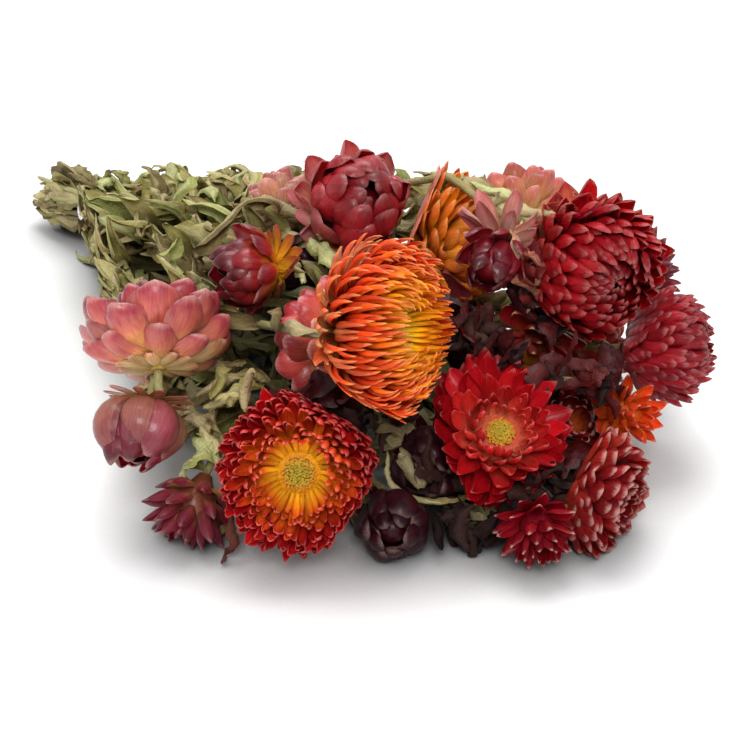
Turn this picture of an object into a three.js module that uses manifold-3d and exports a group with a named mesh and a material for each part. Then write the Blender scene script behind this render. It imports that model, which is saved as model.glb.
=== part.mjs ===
// A dried bunch of strawflowers, laid on its side: papery blooms on leafy stems, held by one elastic band.
// Millimetres, +Z up. The stems run along +X, from their cut ends through the band to the blooms.
// It is laid out with the band's centre over x = 0, y = 0, then moved so that the origin is the
// middle of the bottom of its bounding box.
import * as THREE from "three";
import { mergeVertices } from "three/addons/utils/BufferGeometryUtils.js";
import Module from "manifold-3d";

const wasm = await Module();
wasm.setup();

// ---- Driving dimensions ----------------------------------------------------------------------

const BAND = { height: 24, width: 7, thick: 1.4, sides: 12 }; // height of its centre above the surface
const STEM = { pitch: 3.7, radius: 1.65, neckRadius: 1.35, sides: 5 };
// A stem's sections lie at these points of its route, closer together where it bends to its bloom.
const STEM_SECTIONS = [0, 1, 3, 5, 8, 12, 15.5, 18.5, 20.5, 22];
const FAN = { spread: 6.5, centre: new THREE.Vector3(0, 0, 38) }; // how the stems open out to the blooms
const GRIP = 9; // the stems run straight this far on each side of the band's centre
const CUT_END = { x: -47, scatter: 9, fan: 1.42, droop: 6.2, slant: 1.2 };
const BLADE = 0.7; // thickness of a bract or a leaf
const GAP = 0.3; // between pieces that touch
const PRESS = { bloom: 2.8, leaf: 0.1 }; // how much a piece is flattened where it lies on the surface
const NECK_SEAT = 2.2; // radius of the flat foot of a bloom, where its stem ends
const ROOT_DEPTH = 3; // how far a bract's root is sunk into the middle of its bloom
const CORE_SIDES = 5;
const LEAF = { perStem: 4, tries: 4, length: [22, 38], width: [9, 14] };
// Leaves grow this far behind the band's grip, or between these distances from the cut end and the bloom.
const LEAF_PLACES = { behindBand: [6, 18], afterCut: 70, beforeBloom: 31 };
// Leaves stay within a room that widens from the band to the blooms: half its width and its height
// at the band, and how much both grow per millimetre of length.
const LEAF_ROOM = { side: [18, 0.36], top: [40, 0.19] };

// Each bloom: name, centre, the way it faces (azimuth and elevation in degrees), radius, half height,
// form and colour.
const BLOOMS = [
  ["rose_cup", [208, -72, 56], [151, 44], 26, 13, "cup", "#b5525c"],
  ["rose_bud", [223, -88, 31], [-48, -37], 15, 12, "bud", "#a8424f"],
  ["plum_star", [238, -80, 10], [-61, -40], 16, 11, "star", "#6a1a2c"],
  ["amber_goblet", [200, -37, 64], [-107, 2], 15, 12, "goblet", "#a43a2c"],
  ["blush_cup", [157, 5, 70], [158, 31], 15.5, 11, "cup", "#d98f86"],
  ["wine_full", [199, 11, 76.5], [-15, 35], 21, 16, "full", "#8c1726"],
  ["coral_cup", [223, -24, 45], [-156, -7], 21, 13, "cup", "#c2413a"],
  ["orange_shaggy", [266, -29, 65], [26, 14], 27, 18, "shaggy", "#e8642a"],
  ["scarlet_daisy", [264, -58, 28], [-37, 23], 26, 12, "daisy", "#a3182a"],
  ["orange_open", [221, 34, 62], [27, 20], 25, 15, "open", "#e0792f"],
  ["mauve_bud", [255, 21, 68], [-64, -26], 15, 14, "bud", "#7c2738"],
  ["crimson_full", [267, 54, 63], [-18, 9], 25, 17, "full", "#8e1c2a"],
  ["garnet_full", [285, 73, 38], [32, 12], 20, 13, "full", "#8f2a3c"],
  ["peach_cup", [209, 78, 67], [150, 33], 21, 12, "cup", "#d98a6a"],
  ["red_daisy", [287, -2, 31], [-33, 48], 27.5, 13, "daisy", "#c41f2b"],
  ["flame_rosette", [292, 50, 23], [-14, 23], 14, 12, "star", "#c83a24"],
  ["rust_open", [312, 17, 15.5], [14, -7], 19, 13, "open", "#b8402c"],
  ["ruby_star", [311, -8, 13], [-30, -17], 13, 11, "star", "#a31d26"],
  ["maroon_bud", [274, -17, 18], [-43, 9], 14, 13, "bud", "#4a1420"],
  ["black_bud", [282, -38, 10.5], [-40, 13], 13, 12, "bud", "#3c1019"],
  ["claret_open", [276, 43, 14], [-22, 39], 19, 11, "open", "#7a1422"],
  ["streaked_star", [257, 41, 36], [-48, -8], 18, 12, "star", "#8a2430"],
  ["shadow_bud", [227, 34, 31], [-30, 33], 15, 13, "bud", "#3a1222"],
  ["ink_bud", [181, 0, 54], [-21, 39], 13, 12, "bud", "#33101f"],
  ["far_rust", [240, 88, 16], [70, 5], 20, 12, "open", "#b4452e"],
  ["far_wine", [196, 56, 34], [110, 0], 19, 14, "full", "#84202e"],
  ["far_plum", [259, 92, 52], [60, 20], 16, 12, "star", "#7a2440"],
].map(([name, at, face, radius, half, form, color]) => ({ name, at, face, radius, half, form, color }));

// Rings of bracts, outermost first. root and length are shares of the bloom's half height and radius;
// lean is the angle from the bloom's axis at root and tip; fill is the covered share of the ring.
const RINGS = {
  daisy: [
    { count: 12, root: -0.45, length: 0.84, lean: [97, 72], fill: 0.92, shape: "kite" },
    { count: 9, root: -0.15, length: 0.74, lean: [78, 48], fill: 0.92, shape: "kite" },
    { count: 6, root: 0.02, length: 0.5, lean: [56, 26], fill: 0.86, shape: "kite" },
  ],
  shaggy: [
    { count: 12, root: -0.5, length: 0.9, lean: [84, 68], fill: 0.8, shape: "kite" },
    { count: 10, root: -0.25, length: 0.9, lean: [74, 46], fill: 0.8, shape: "kite" },
    { count: 6, root: 0.0, length: 0.74, lean: [56, 16], fill: 0.8, shape: "kite" },
  ],
  full: [
    { count: 8, root: -0.6, length: 0.88, lean: [92, 64], fill: 0.96, shape: "broad" },
    { count: 6, root: -0.2, length: 0.96, lean: [72, 20], fill: 0.96, shape: "kite" },
    { count: 4, root: 0.25, length: 0.62, lean: [38, -24], fill: 0.96, shape: "kite" },
  ],
  cup: [
    { count: 5, root: -0.75, length: 0.54, lean: [84, 112], fill: 0.84, shape: "kite" },
    { count: 7, root: -0.4, length: 0.94, lean: [84, 34], fill: 0.96, shape: "broad" },
    { count: 3, root: -0.05, length: 0.76, lean: [58, 10], fill: 0.86, shape: "broad" },
  ],
  goblet: [
    { count: 6, root: -0.7, length: 0.9, lean: [94, 78], fill: 0.76, shape: "kite" },
    { count: 6, root: -0.3, length: 1.2, lean: [62, 2], fill: 0.94, shape: "broad" },
  ],
  open: [
    { count: 8, root: -0.5, length: 0.88, lean: [92, 66], fill: 0.92, shape: "kite" },
    { count: 5, root: -0.05, length: 0.74, lean: [64, 28], fill: 0.92, shape: "kite" },
  ],
  star: [
    { count: 7, root: -0.5, length: 0.88, lean: [90, 64], fill: 0.9, shape: "kite" },
    { count: 4, root: 0.1, length: 0.72, lean: [40, -14], fill: 0.92, shape: "kite" },
  ],
  bud: [
    { count: 4, root: -0.6, length: 1.3, lean: [78, 0], fill: 0.94, shape: "broad" },
    { count: 3, root: 0.15, length: 0.8, lean: [44, -30], fill: 0.92, shape: "kite" },
  ],
};
// Rows of a bract: share of its length, share of its half width, and number of points.
const BRACTS = {
  kite: [[0, 0, 1], [0.52, 1, 2], [1, 0, 1]],
  broad: [[0, 0, 1], [0.4, 1, 2], [0.84, 0.74, 2], [1, 0, 1]],
};

// The solid middle of a bloom above its foot, as [radius, height] in shares of the radius and half height.
const CORE_OUTLINES = {
  low: [[0.36, -0.3], [0.3, 0.12]],
  egg: [[0.4, -0.35], [0.4, 0.15], [0.2, 0.45]],
};
const CORE_OF = {
  daisy: "low", shaggy: "low", cup: "low", goblet: "low", open: "low", full: "egg", star: "egg", bud: "egg",
};

// Blooms that show a disc of florets, with its radius as a share of the bloom's.
const DISCS = { scarlet_daisy: 0.19, orange_shaggy: 0.19, red_daisy: 0.19, orange_open: 0.19 };
const DISC = { sides: 7, rings: 2, rise: 1.9, floret: 0.35, foot: 0.6 };

const STEM_COLOR = "#7c7148";
const BAND_COLOR = "#cfc8d6";
const DISC_COLOR = "#a8862a";

const SNAP = 0.006; // the points of a surface lie on a grid this fine
const SIMPLE = 0.05; // a surface is made simpler within this distance
const TOUCH = 1e-3; // cubic millimetres of overlap that don't count
const TINY = 1e-6;

// ---- Small tools -----------------------------------------------------------------------------

// A repeatable source of numbers between 0 and 1.
function seeded(seed) {
  let state = seed >>> 0;
  return () => {
    state = (state + 0x6d2b79f5) >>> 0;
    let mixed = state;
    mixed = Math.imul(mixed ^ (mixed >>> 15), mixed | 1);
    mixed ^= mixed + Math.imul(mixed ^ (mixed >>> 7), mixed | 61);
    return ((mixed ^ (mixed >>> 14)) >>> 0) / 4294967296;
  };
}

const radians = THREE.MathUtils.degToRad;
const lerp = THREE.MathUtils.lerp;

function directionOf([azimuth, elevation]) {
  const [a, e] = [radians(azimuth), radians(elevation)];
  return new THREE.Vector3(Math.cos(a) * Math.cos(e), Math.sin(a) * Math.cos(e), Math.sin(e));
}

// A three.js geometry as a manifold-3d solid, facing out.
function solidOf(geometry) {
  const plain = new THREE.BufferGeometry();
  plain.setAttribute("position", geometry.getAttribute("position"));
  if (geometry.index) plain.setIndex(geometry.index);
  const merged = mergeVertices(plain, 1e-4);
  const triVerts = new Uint32Array(merged.index.array);
  const vertProperties = new Float32Array(merged.attributes.position.array);
  const make = () => new wasm.Manifold(new wasm.Mesh({ numProp: 3, vertProperties, triVerts }));
  const solid = make();
  if (solid.volume() > 0) return solid;
  for (let i = 0; i < triVerts.length; i += 3) {
    [triVerts[i + 1], triVerts[i + 2]] = [triVerts[i + 2], triVerts[i + 1]];
  }
  return make();
}

function geometryOf(solid) {
  const mesh = solid.getMesh();
  const geometry = new THREE.BufferGeometry();
  geometry.setAttribute("position", new THREE.BufferAttribute(new Float32Array(mesh.vertProperties), 3));
  geometry.setIndex(new THREE.BufferAttribute(new Uint32Array(mesh.triVerts), 1));
  return geometry;
}

function snapToGrid(point) {
  for (let k = 0; k < 3; k += 1) point[k] = Math.round(point[k] / SNAP) * SNAP;
}

// The largest body of a solid, above the surface that the bunch lies on.
function tidied(solid) {
  const bodies = solid.trimByPlane([0, 0, 1], 0).warp(snapToGrid).simplify(SIMPLE).decompose();
  return bodies.reduce((most, body) => (body.volume() > most.volume() ? body : most));
}

function boxesMeet(a, b) {
  const [one, two] = [a.boundingBox(), b.boundingBox()];
  return [0, 1, 2].every((k) => one.min[k] <= two.max[k] && two.min[k] <= one.max[k]);
}

function overlap(a, b) {
  return boxesMeet(a, b) ? a.intersect(b).volume() : 0;
}

// ---- Thin blades -----------------------------------------------------------------------------

// Triangles between two rows of points, which may differ in number.
function stripBetween(first, second) {
  const triangles = [];
  let [i, j] = [0, 0];
  const share = (k, row) => (row.length > 1 ? (k + 0.5) / (row.length - 1) : 2);
  while (i < first.length - 1 || j < second.length - 1) {
    if (share(i, first) <= share(j, second)) {
      triangles.push([first[i], first[i + 1], second[j]]);
      i += 1;
    } else {
      triangles.push([first[i], second[j + 1], second[j]]);
      j += 1;
    }
  }
  return triangles;
}

// The edge of a blade whose rows are given from root to tip, as one loop.
function rimOf(rows) {
  const right = rows.slice(1).map((row) => row[row.length - 1]);
  const left = rows.slice(1, -1).map((row) => row[0]).reverse();
  return [...rows[0], ...right, ...left];
}

// A closed blade on a middle surface given as rows of points, root first and tip last. It has an
// even thickness, and runs out to a point at a row of one. Both faces are split into the same triangles.
function bladeGeometry(rowsOfPoints, thickness) {
  const points = rowsOfPoints.flat();
  let next = 0;
  const rows = rowsOfPoints.map((row) => row.map(() => next++));
  const triangles = rows.slice(1).flatMap((row, k) => stripBetween(rows[k], row));
  const normals = points.map(() => new THREE.Vector3());
  for (const [a, b, c] of triangles) {
    const across = points[b].clone().sub(points[a]).cross(points[c].clone().sub(points[a]));
    [a, b, c].forEach((corner) => normals[corner].add(across));
  }
  const pointed = new Set(rows.filter((row) => row.length === 1).flat());
  const offset = (side) => points.map((point, k) => {
    const depth = pointed.has(k) ? 0 : (side * thickness) / 2;
    return point.clone().addScaledVector(normals[k].clone().normalize(), depth);
  });
  const under = (k) => (pointed.has(k) ? k : k + points.length);
  const faces = triangles.flatMap(([a, b, c]) => [[a, b, c], [under(a), under(c), under(b)]]);
  const rim = rimOf(rows);
  rim.forEach((from, k) => {
    const to = rim[(k + 1) % rim.length];
    faces.push([from, under(from), under(to)], [from, under(to), to]);
  });
  const geometry = new THREE.BufferGeometry().setFromPoints([...offset(1), ...offset(-1)]);
  geometry.setIndex(faces.filter(([a, b, c]) => a !== b && b !== c && c !== a).flat());
  return geometry;
}

// ---- Blooms ----------------------------------------------------------------------------------

const WALL = { near: 1.5, slack: 0.1 }; // which neighbours count, in shares of their reach; play at a wall
const KNEE = 0.7; // a bloom is pressed from this share of the way to a wall
const BRACT = { lengths: [0.92, 1.06], wobble: 4, jitter: 0.12, leastRoot: 1, leastRadius: 0.4 };

// Adds to each bloom its centre, axis and turn.
function placed(bloom) {
  const axis = directionOf(bloom.face);
  const turn = new THREE.Quaternion().setFromUnitVectors(new THREE.Vector3(0, 0, 1), axis);
  return { ...bloom, centre: new THREE.Vector3(...bloom.at), axis, turn };
}

// How far a bloom's envelope reaches from its centre along a direction.
function reach(bloom, direction) {
  const along = bloom.axis.dot(direction);
  return Math.hypot(bloom.half * along, bloom.radius * Math.sqrt(Math.max(0, 1 - along * along)));
}

// The planes that part a bloom from its neighbours, and from the surface below.
function wallsOf(bloom, blooms) {
  const walls = [{ normal: new THREE.Vector3(0, 0, -1), limit: bloom.centre.z + PRESS.bloom }];
  for (const other of blooms) {
    if (other === bloom) continue;
    const normal = other.centre.clone().sub(bloom.centre);
    const distance = normal.length();
    normal.normalize();
    const [mine, theirs] = [reach(bloom, normal), reach(other, normal)];
    if (distance > WALL.near * (mine + theirs)) continue;
    const limit = (distance * mine) / (mine + theirs) - (BLADE + GAP) / 2 - WALL.slack;
    walls.push({ normal, limit });
  }
  return walls;
}

// Presses a point of a bloom softly against the walls round it.
function pressed(point, bloom) {
  for (let pass = 0; pass < 2; pass += 1) {
    for (const { normal, limit } of bloom.walls) {
      const depth = point.clone().sub(bloom.centre).dot(normal);
      const knee = KNEE * limit;
      if (depth <= knee) continue;
      const room = limit - knee;
      const eased = knee + room * (1 - Math.exp(-(depth - knee) / room));
      point.addScaledVector(normal, eased - depth);
    }
  }
  return point;
}

function toLayout(bloom, radial, angle, height) {
  const local = new THREE.Vector3(radial * Math.cos(angle), radial * Math.sin(angle), height);
  return local.applyQuaternion(bloom.turn).add(bloom.centre);
}

// The outline of a bloom's solid middle, from its foot to its top, in millimetres.
function coreOutline(bloom) {
  const shares = CORE_OUTLINES[CORE_OF[bloom.form]];
  const rise = shares.map(([radius, height]) => [radius * bloom.radius, height * bloom.half]);
  return [[NECK_SEAT, -bloom.half], ...rise];
}

function coreTop(bloom) {
  return coreOutline(bloom).at(-1)[1];
}

function coreGeometry(bloom) {
  const outline = coreOutline(bloom);
  const profile = [[0, -bloom.half], ...outline, [0, coreTop(bloom)]];
  const lathe = new THREE.LatheGeometry(profile.map(([x, y]) => new THREE.Vector2(x, y)), CORE_SIDES);
  lathe.rotateX(Math.PI / 2);
  lathe.applyQuaternion(bloom.turn);
  return lathe.translate(...bloom.centre.toArray());
}

// Radius of the solid middle at a height.
function coreRadiusAt(bloom, height) {
  const outline = coreOutline(bloom);
  const above = outline.findIndex((corner) => corner[1] >= height);
  if (above <= 0) return outline.at(above)[0];
  const [[r0, h0], [r1, h1]] = [outline[above - 1], outline[above]];
  return lerp(r0, r1, (height - h0) / (h1 - h0));
}

function bractGeometry(bloom, ring, turn, random) {
  const halfAngle = (ring.fill * Math.PI) / ring.count;
  const length = ring.length * bloom.radius * lerp(...BRACT.lengths, random());
  const wobble = radians(lerp(-BRACT.wobble, BRACT.wobble, random()));
  const height = ring.root * bloom.half;
  const root = Math.max(BRACT.leastRoot, coreRadiusAt(bloom, height) - ROOT_DEPTH);
  let [radial, axial, last] = [root, height, 0];
  const rows = BRACTS[ring.shape].map(([share, width, count]) => {
    const lean = radians(lerp(ring.lean[0], ring.lean[1], (share + last) / 2)) + wobble * share;
    radial += (share - last) * length * Math.sin(lean);
    axial += (share - last) * length * Math.cos(lean);
    last = share;
    const row = [];
    for (let k = 0; k < count; k += 1) {
      const side = count > 1 ? (2 * k) / (count - 1) - 1 : 0;
      const angle = turn + side * width * halfAngle;
      const out = Math.max(BRACT.leastRadius, radial);
      row.push(pressed(toLayout(bloom, out, angle, axial), bloom));
    }
    return row;
  });
  return bladeGeometry(rows, BLADE);
}

function bloomSolid(bloom, index) {
  const random = seeded(1000 + index);
  const pieces = [solidOf(coreGeometry(bloom))];
  RINGS[bloom.form].forEach((ring, level) => {
    for (let k = 0; k < ring.count; k += 1) {
      const jitter = BRACT.jitter * (random() - 0.5);
      const turn = (2 * Math.PI * (k + 0.5 * level + jitter)) / ring.count;
      pieces.push(solidOf(bractGeometry(bloom, ring, turn, random)));
    }
  });
  return wasm.Manifold.union(pieces);
}

// A low dome of florets on top of a bloom's middle, its surface raised and sunk by turns.
function discGeometry(bloom) {
  const radius = DISCS[bloom.name] * bloom.radius;
  const bottom = coreTop(bloom) + GAP;
  const profile = [new THREE.Vector2(0, bottom), new THREE.Vector2(radius, bottom)];
  for (let ring = 0; ring <= DISC.rings; ring += 1) {
    const share = 1 - ring / (DISC.rings + 1);
    const rise = DISC.foot + (DISC.rise - DISC.foot) * (1 - share * share);
    profile.push(new THREE.Vector2(radius * share, bottom + rise));
  }
  profile.push(new THREE.Vector2(0, bottom + DISC.rise));
  const lathe = new THREE.LatheGeometry(profile, DISC.sides);
  const place = lathe.getAttribute("position");
  for (let k = 0; k < place.count; k += 1) {
    const ring = (k % profile.length) - 3;
    const spoke = Math.floor(k / profile.length) % DISC.sides;
    if (ring < 0 || ring >= DISC.rings) continue;
    place.setY(k, place.getY(k) + ((ring + spoke) % 2 ? DISC.floret : -DISC.floret));
  }
  lathe.rotateX(Math.PI / 2);
  lathe.applyQuaternion(bloom.turn);
  return lathe.translate(...bloom.centre.toArray());
}

// ---- Stems -----------------------------------------------------------------------------------

// Places of the stems in the band, close packed round its centre.
function stemSlots(count) {
  const slots = [];
  const reaches = Math.ceil(Math.sqrt(count));
  for (let row = -reaches; row <= reaches; row += 1) {
    for (let column = -reaches; column <= reaches; column += 1) {
      const y = STEM.pitch * (column + 0.5 * (Math.abs(row) % 2) + 0.25);
      const z = STEM.pitch * row * Math.sin(Math.PI / 3);
      slots.push({ y, z, away: Math.hypot(y, z) });
    }
  }
  return slots.sort((a, b) => a.away - b.away || a.y - b.y || a.z - b.z).slice(0, count);
}

// Gives each bloom the slot that lies nearest to its own side of the bunch.
function slotsOf(blooms) {
  const slots = stemSlots(blooms.length);
  const pairs = [];
  blooms.forEach((bloom, b) => {
    slots.forEach((slot, s) => {
      const wide = FAN.centre.clone().add(new THREE.Vector3(0, slot.y, slot.z).multiplyScalar(FAN.spread));
      const cost = Math.hypot(bloom.centre.y - wide.y, bloom.centre.z - wide.z);
      pairs.push({ b, s, cost });
    });
  });
  pairs.sort((one, two) => one.cost - two.cost || one.b - two.b || one.s - two.s);
  const chosen = new Array(blooms.length);
  const taken = new Set();
  for (const { b, s } of pairs) {
    if (chosen[b] || taken.has(s)) continue;
    chosen[b] = slots[s];
    taken.add(s);
  }
  return chosen;
}

const ROUTE_POINTS = 20;
const APPROACH = 7; // the last stretch of a stem runs straight into its bloom
const HEART = { y: 5, z: 33 }; // the middle of the blooms
// A stem whose bloom faces back to the band passes beside it, this far from its rim and behind its centre.
const BYPASS = { facing: -0.1, rim: 4, behind: 2 };
// Room that a stem keeps from other stems, blooms and the surface, and how strongly it is moved, early
// and late.
const EASING = {
  rounds: 300, stemRoom: 2.6, bloomRoom: 2.5, surfaceRoom: 0.4, straighten: [0.5, 0.2], part: [0.3, 0.6],
  leave: 0.5, longestLeave: 0.35,
};

// Points at even spacing along a line of straight stretches.
function evenly(corners, count) {
  const path = new THREE.CurvePath();
  for (let k = 1; k < corners.length; k += 1) path.add(new THREE.LineCurve3(corners[k - 1], corners[k]));
  return Array.from({ length: count }, (_, k) => path.getPointAt(k / (count - 1)));
}

// First guess of a stem's way from the band to its bloom: beside the bloom where its foot faces away.
function firstRoute(bloom, slot) {
  const start = new THREE.Vector3(GRIP, slot.y, BAND.height + slot.z);
  const foot = bloom.centre.clone().addScaledVector(bloom.axis, -bloom.half - GAP);
  const approach = foot.clone().addScaledVector(bloom.axis, -APPROACH);
  const corners = [start];
  const back = start.clone().sub(bloom.centre).normalize();
  if (back.dot(bloom.axis) > BYPASS.facing) {
    const inward = new THREE.Vector3(bloom.centre.x, HEART.y, HEART.z).sub(bloom.centre);
    inward.addScaledVector(bloom.axis, -inward.dot(bloom.axis)).normalize();
    const beside = bloom.centre.clone().addScaledVector(inward, bloom.radius + BYPASS.rim);
    corners.push(beside.addScaledVector(bloom.axis, -BYPASS.behind));
  }
  return [...evenly([...corners, approach], ROUTE_POINTS - 1), foot];
}

function stemRadiusAt(share) {
  return lerp(STEM.radius, STEM.neckRadius, share);
}

// How far a point inside a bloom's envelope has to move to leave it.
function pushFromBloom(point, bloom) {
  const margin = EASING.bloomRoom;
  const from = point.clone().sub(bloom.centre);
  const along = from.dot(bloom.axis);
  const across = from.clone().addScaledVector(bloom.axis, -along);
  const level = Math.hypot(across.length() / (bloom.radius + margin), along / (bloom.half + margin));
  if (level >= 1 || level < TINY) return new THREE.Vector3();
  return from.multiplyScalar(Math.min(1 / level - 1, EASING.longestLeave));
}

function pushFromStretch(point, from, to, least) {
  const stretch = to.clone().sub(from);
  const share = THREE.MathUtils.clamp(point.clone().sub(from).dot(stretch) / stretch.lengthSq(), 0, 1);
  const apart = point.clone().sub(from).addScaledVector(stretch, -share);
  const distance = apart.length();
  if (distance >= least || distance < TINY) return new THREE.Vector3();
  return apart.multiplyScalar((least - distance) / distance);
}

// How far a point of a stem moves away from all the other stems.
function pushFromStems(k, i, routes) {
  const push = new THREE.Vector3();
  const radius = stemRadiusAt(k / ROUTE_POINTS);
  routes.forEach((other, j) => {
    if (j === i) return;
    for (let m = 1; m < ROUTE_POINTS; m += 1) {
      const least = radius + stemRadiusAt(m / ROUTE_POINTS) + EASING.stemRoom;
      push.add(pushFromStretch(routes[i][k], other[m - 1], other[m], least));
    }
  });
  return push;
}

// The next small move of a point of a stem: straighter, out of the blooms, clear of the other stems and
// of the surface. Both ends of a stem stay where they are.
function easingMove(k, i, routes, blooms, late) {
  const move = new THREE.Vector3();
  if (k === 0 || k >= ROUTE_POINTS - 2) return move;
  const [route, point] = [routes[i], routes[i][k]];
  const middle = route[k - 1].clone().add(route[k + 1]).multiplyScalar(0.5);
  move.addScaledVector(middle.sub(point), lerp(...EASING.straighten, late));
  const barred = blooms.filter((bloom, b) => b !== i || k < ROUTE_POINTS - 3);
  barred.forEach((bloom) => move.addScaledVector(pushFromBloom(point, bloom), EASING.leave));
  move.addScaledVector(pushFromStems(k, i, routes), lerp(...EASING.part, late));
  const lowest = stemRadiusAt(k / ROUTE_POINTS) + EASING.surfaceRoom;
  if (point.z + move.z < lowest) move.z = lowest - point.z;
  return move;
}

// Eases all the stems at once, in many small rounds.
function easedRoutes(routes, blooms) {
  for (let round = 0; round < EASING.rounds; round += 1) {
    const late = round / EASING.rounds;
    const moves = routes.map((route, i) => route.map((_, k) => easingMove(k, i, routes, blooms, late)));
    routes.forEach((route, i) => route.forEach((point, k) => point.add(moves[i][k])));
  }
  return routes;
}

// The whole centre line of a stem, from its cut end to its bloom.
function stemCurve(route, slot, random) {
  const height = BAND.height + slot.z;
  const tail = new THREE.Vector3(
    CUT_END.x + CUT_END.scatter * (2 * random() - 1),
    slot.y * CUT_END.fan,
    BAND.height + slot.z * CUT_END.fan - CUT_END.droop,
  );
  const straight = [new THREE.Vector3(-GRIP, slot.y, height), new THREE.Vector3(0, slot.y, height)];
  return new THREE.CatmullRomCurve3([tail, ...straight, ...route], false, "centripetal");
}

// A closed tube along a curve, thinner towards its end, with a slanting cut at its start.
function stemGeometry(curve, extra = 0) {
  const last = STEM_SECTIONS.length - 1;
  const tube = new THREE.CylinderGeometry(1, 1, 1, STEM.sides, last);
  const place = tube.getAttribute("position");
  const level = new THREE.Vector3(0, 0, 1);
  for (let k = 0; k < place.count; k += 1) {
    const section = Math.round((place.getY(k) + 0.5) * last);
    const share = STEM_SECTIONS[section] / STEM_SECTIONS[last];
    const radius = stemRadiusAt(share) + extra;
    const tangent = curve.getTangent(share);
    const side = tangent.clone().cross(level).normalize();
    const up = side.clone().cross(tangent);
    const [x, z] = [place.getX(k), place.getZ(k)];
    const point = curve.getPoint(share);
    point.addScaledVector(side, x * radius).addScaledVector(up, z * radius);
    if (section === 0) point.addScaledVector(tangent, x * CUT_END.slant * radius);
    place.setXYZ(k, ...point.toArray());
  }
  return tube;
}

// ---- Leaves ----------------------------------------------------------------------------------

// Rows of a leaf: share of its length, share of its half width, and number of points.
const LEAF_ROWS = {
  upper: [[0, 0, 1], [0.36, 0.95, 3], [0.74, 0.85, 3], [1, 0, 1]],
  tail: [[0, 0, 1], [0.55, 1, 3], [1, 0, 1]],
};

const LEAF_WAVE = 0.12; // how far a leaf's edges wave, as a share of its half width
const LEAF_FOLD = [0.25, 0.75]; // how far the edges are folded up, as a share of its half width
const LEAF_AROUND = 75; // degrees to each side of straight away from the bunch
const LEAF_TWIST = 70; // degrees along the leaf, to each side
// Angle with the stem at the leaf's root and its curl along its length, in degrees, and its relative length.
const LEAF_HABITS = {
  upper: { open: [15, 45], curl: [-60, 230], size: 1 },
  tail: { open: [4, 12], curl: [-15, 5], size: 0.7 },
};

// A shrivelled leaf that starts inside a stem and curls: folded along its rib, with waved edges.
function leafGeometry(leaf) {
  const { start, along, out, length, width, open, curl, fold, twist } = leaf;
  const hinge = along.clone().cross(out).normalize();
  const place = start.clone();
  let last = 0;
  const rows = LEAF_ROWS[leaf.kind].map(([share, spread, count], index) => {
    const angle = open + (curl * (share + last)) / 2;
    const heading = along.clone().applyAxisAngle(hinge, angle);
    place.addScaledVector(heading, (share - last) * length);
    last = share;
    const across = hinge.clone().applyAxisAngle(heading, twist * share);
    const normal = heading.clone().cross(across);
    const row = [];
    for (let k = 0; k < count; k += 1) {
      const side = count > 1 ? (2 * k) / (count - 1) - 1 : 0;
      const wave = index % 2 ? LEAF_WAVE : -LEAF_WAVE;
      const lift = (Math.abs(side) * fold + side * wave) * spread;
      const point = place.clone().addScaledVector(across, (side * spread * width) / 2);
      point.addScaledVector(normal, (lift * width) / 2);
      point.z = Math.max(point.z, BLADE / 2 - PRESS.leaf);
      row.push(point);
    }
    return row;
  });
  return bladeGeometry(rows, leaf.thickness);
}

// Draws one leaf at a share of the stem's length.
function drawLeaf(curve, share, random) {
  const between = ([low, high]) => lerp(low, high, random());
  const start = curve.getPointAt(share);
  const kind = start.x < -GRIP ? "tail" : "upper";
  const habit = LEAF_HABITS[kind];
  const along = curve.getTangentAt(share).multiplyScalar(kind === "tail" ? -1 : 1);
  const out = new THREE.Vector3(0, start.y, start.z - BAND.height);
  out.addScaledVector(along, -out.dot(along)).normalize();
  out.applyAxisAngle(along, radians(between([-LEAF_AROUND, LEAF_AROUND])));
  return {
    kind,
    start,
    along,
    out,
    length: between(LEAF.length) * habit.size,
    width: between(LEAF.width) * habit.size,
    open: radians(between(habit.open)),
    curl: radians(between(habit.curl)),
    fold: between(LEAF_FOLD),
    twist: radians(between([-LEAF_TWIST, LEAF_TWIST])),
    thickness: BLADE,
  };
}

// Where leaves may grow, as shares of the stem's length: one behind the band, the rest before the bloom.
function leafShares(curve, random) {
  const length = curve.getLength();
  const shares = [lerp(...LEAF_PLACES.behindBand, random()) / length];
  const [from, to] = [LEAF_PLACES.afterCut / length, 1 - LEAF_PLACES.beforeBloom / length];
  for (let k = 1; k < LEAF.perStem; k += 1) {
    shares.push(lerp(from, to, (k - 1 + random()) / (LEAF.perStem - 1)));
  }
  return shares;
}

// Tells whether a leaf stays within the room for leaves.
function staysInRoom(solid) {
  const { min, max } = solid.boundingBox();
  const limit = ([start, growth]) => start + growth * Math.max(0, min[0]);
  return Math.max(-min[1], max[1]) < limit(LEAF_ROOM.side) && max[2] < limit(LEAF_ROOM.top);
}

// Grows on a stem those of its drawn leaves that keep clear of every other piece.
function leafySolid(stem, others) {
  const leaves = [];
  const near = others.filter((other) => other !== stem.solid);
  for (const share of leafShares(stem.curve, stem.random)) {
    for (let attempt = 0; attempt < LEAF.tries; attempt += 1) {
      const leaf = drawLeaf(stem.curve, share, stem.random);
      const roomy = solidOf(leafGeometry({ ...leaf, thickness: BLADE + 2 * GAP }));
      const clear = [...near, ...leaves].every((other) => overlap(roomy, other) < TOUCH);
      if (!clear || !staysInRoom(roomy)) continue;
      leaves.push(solidOf(leafGeometry(leaf)));
      break;
    }
  }
  return wasm.Manifold.union([stem.solid, ...leaves]);
}

// ---- Band ------------------------------------------------------------------------------------

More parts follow.
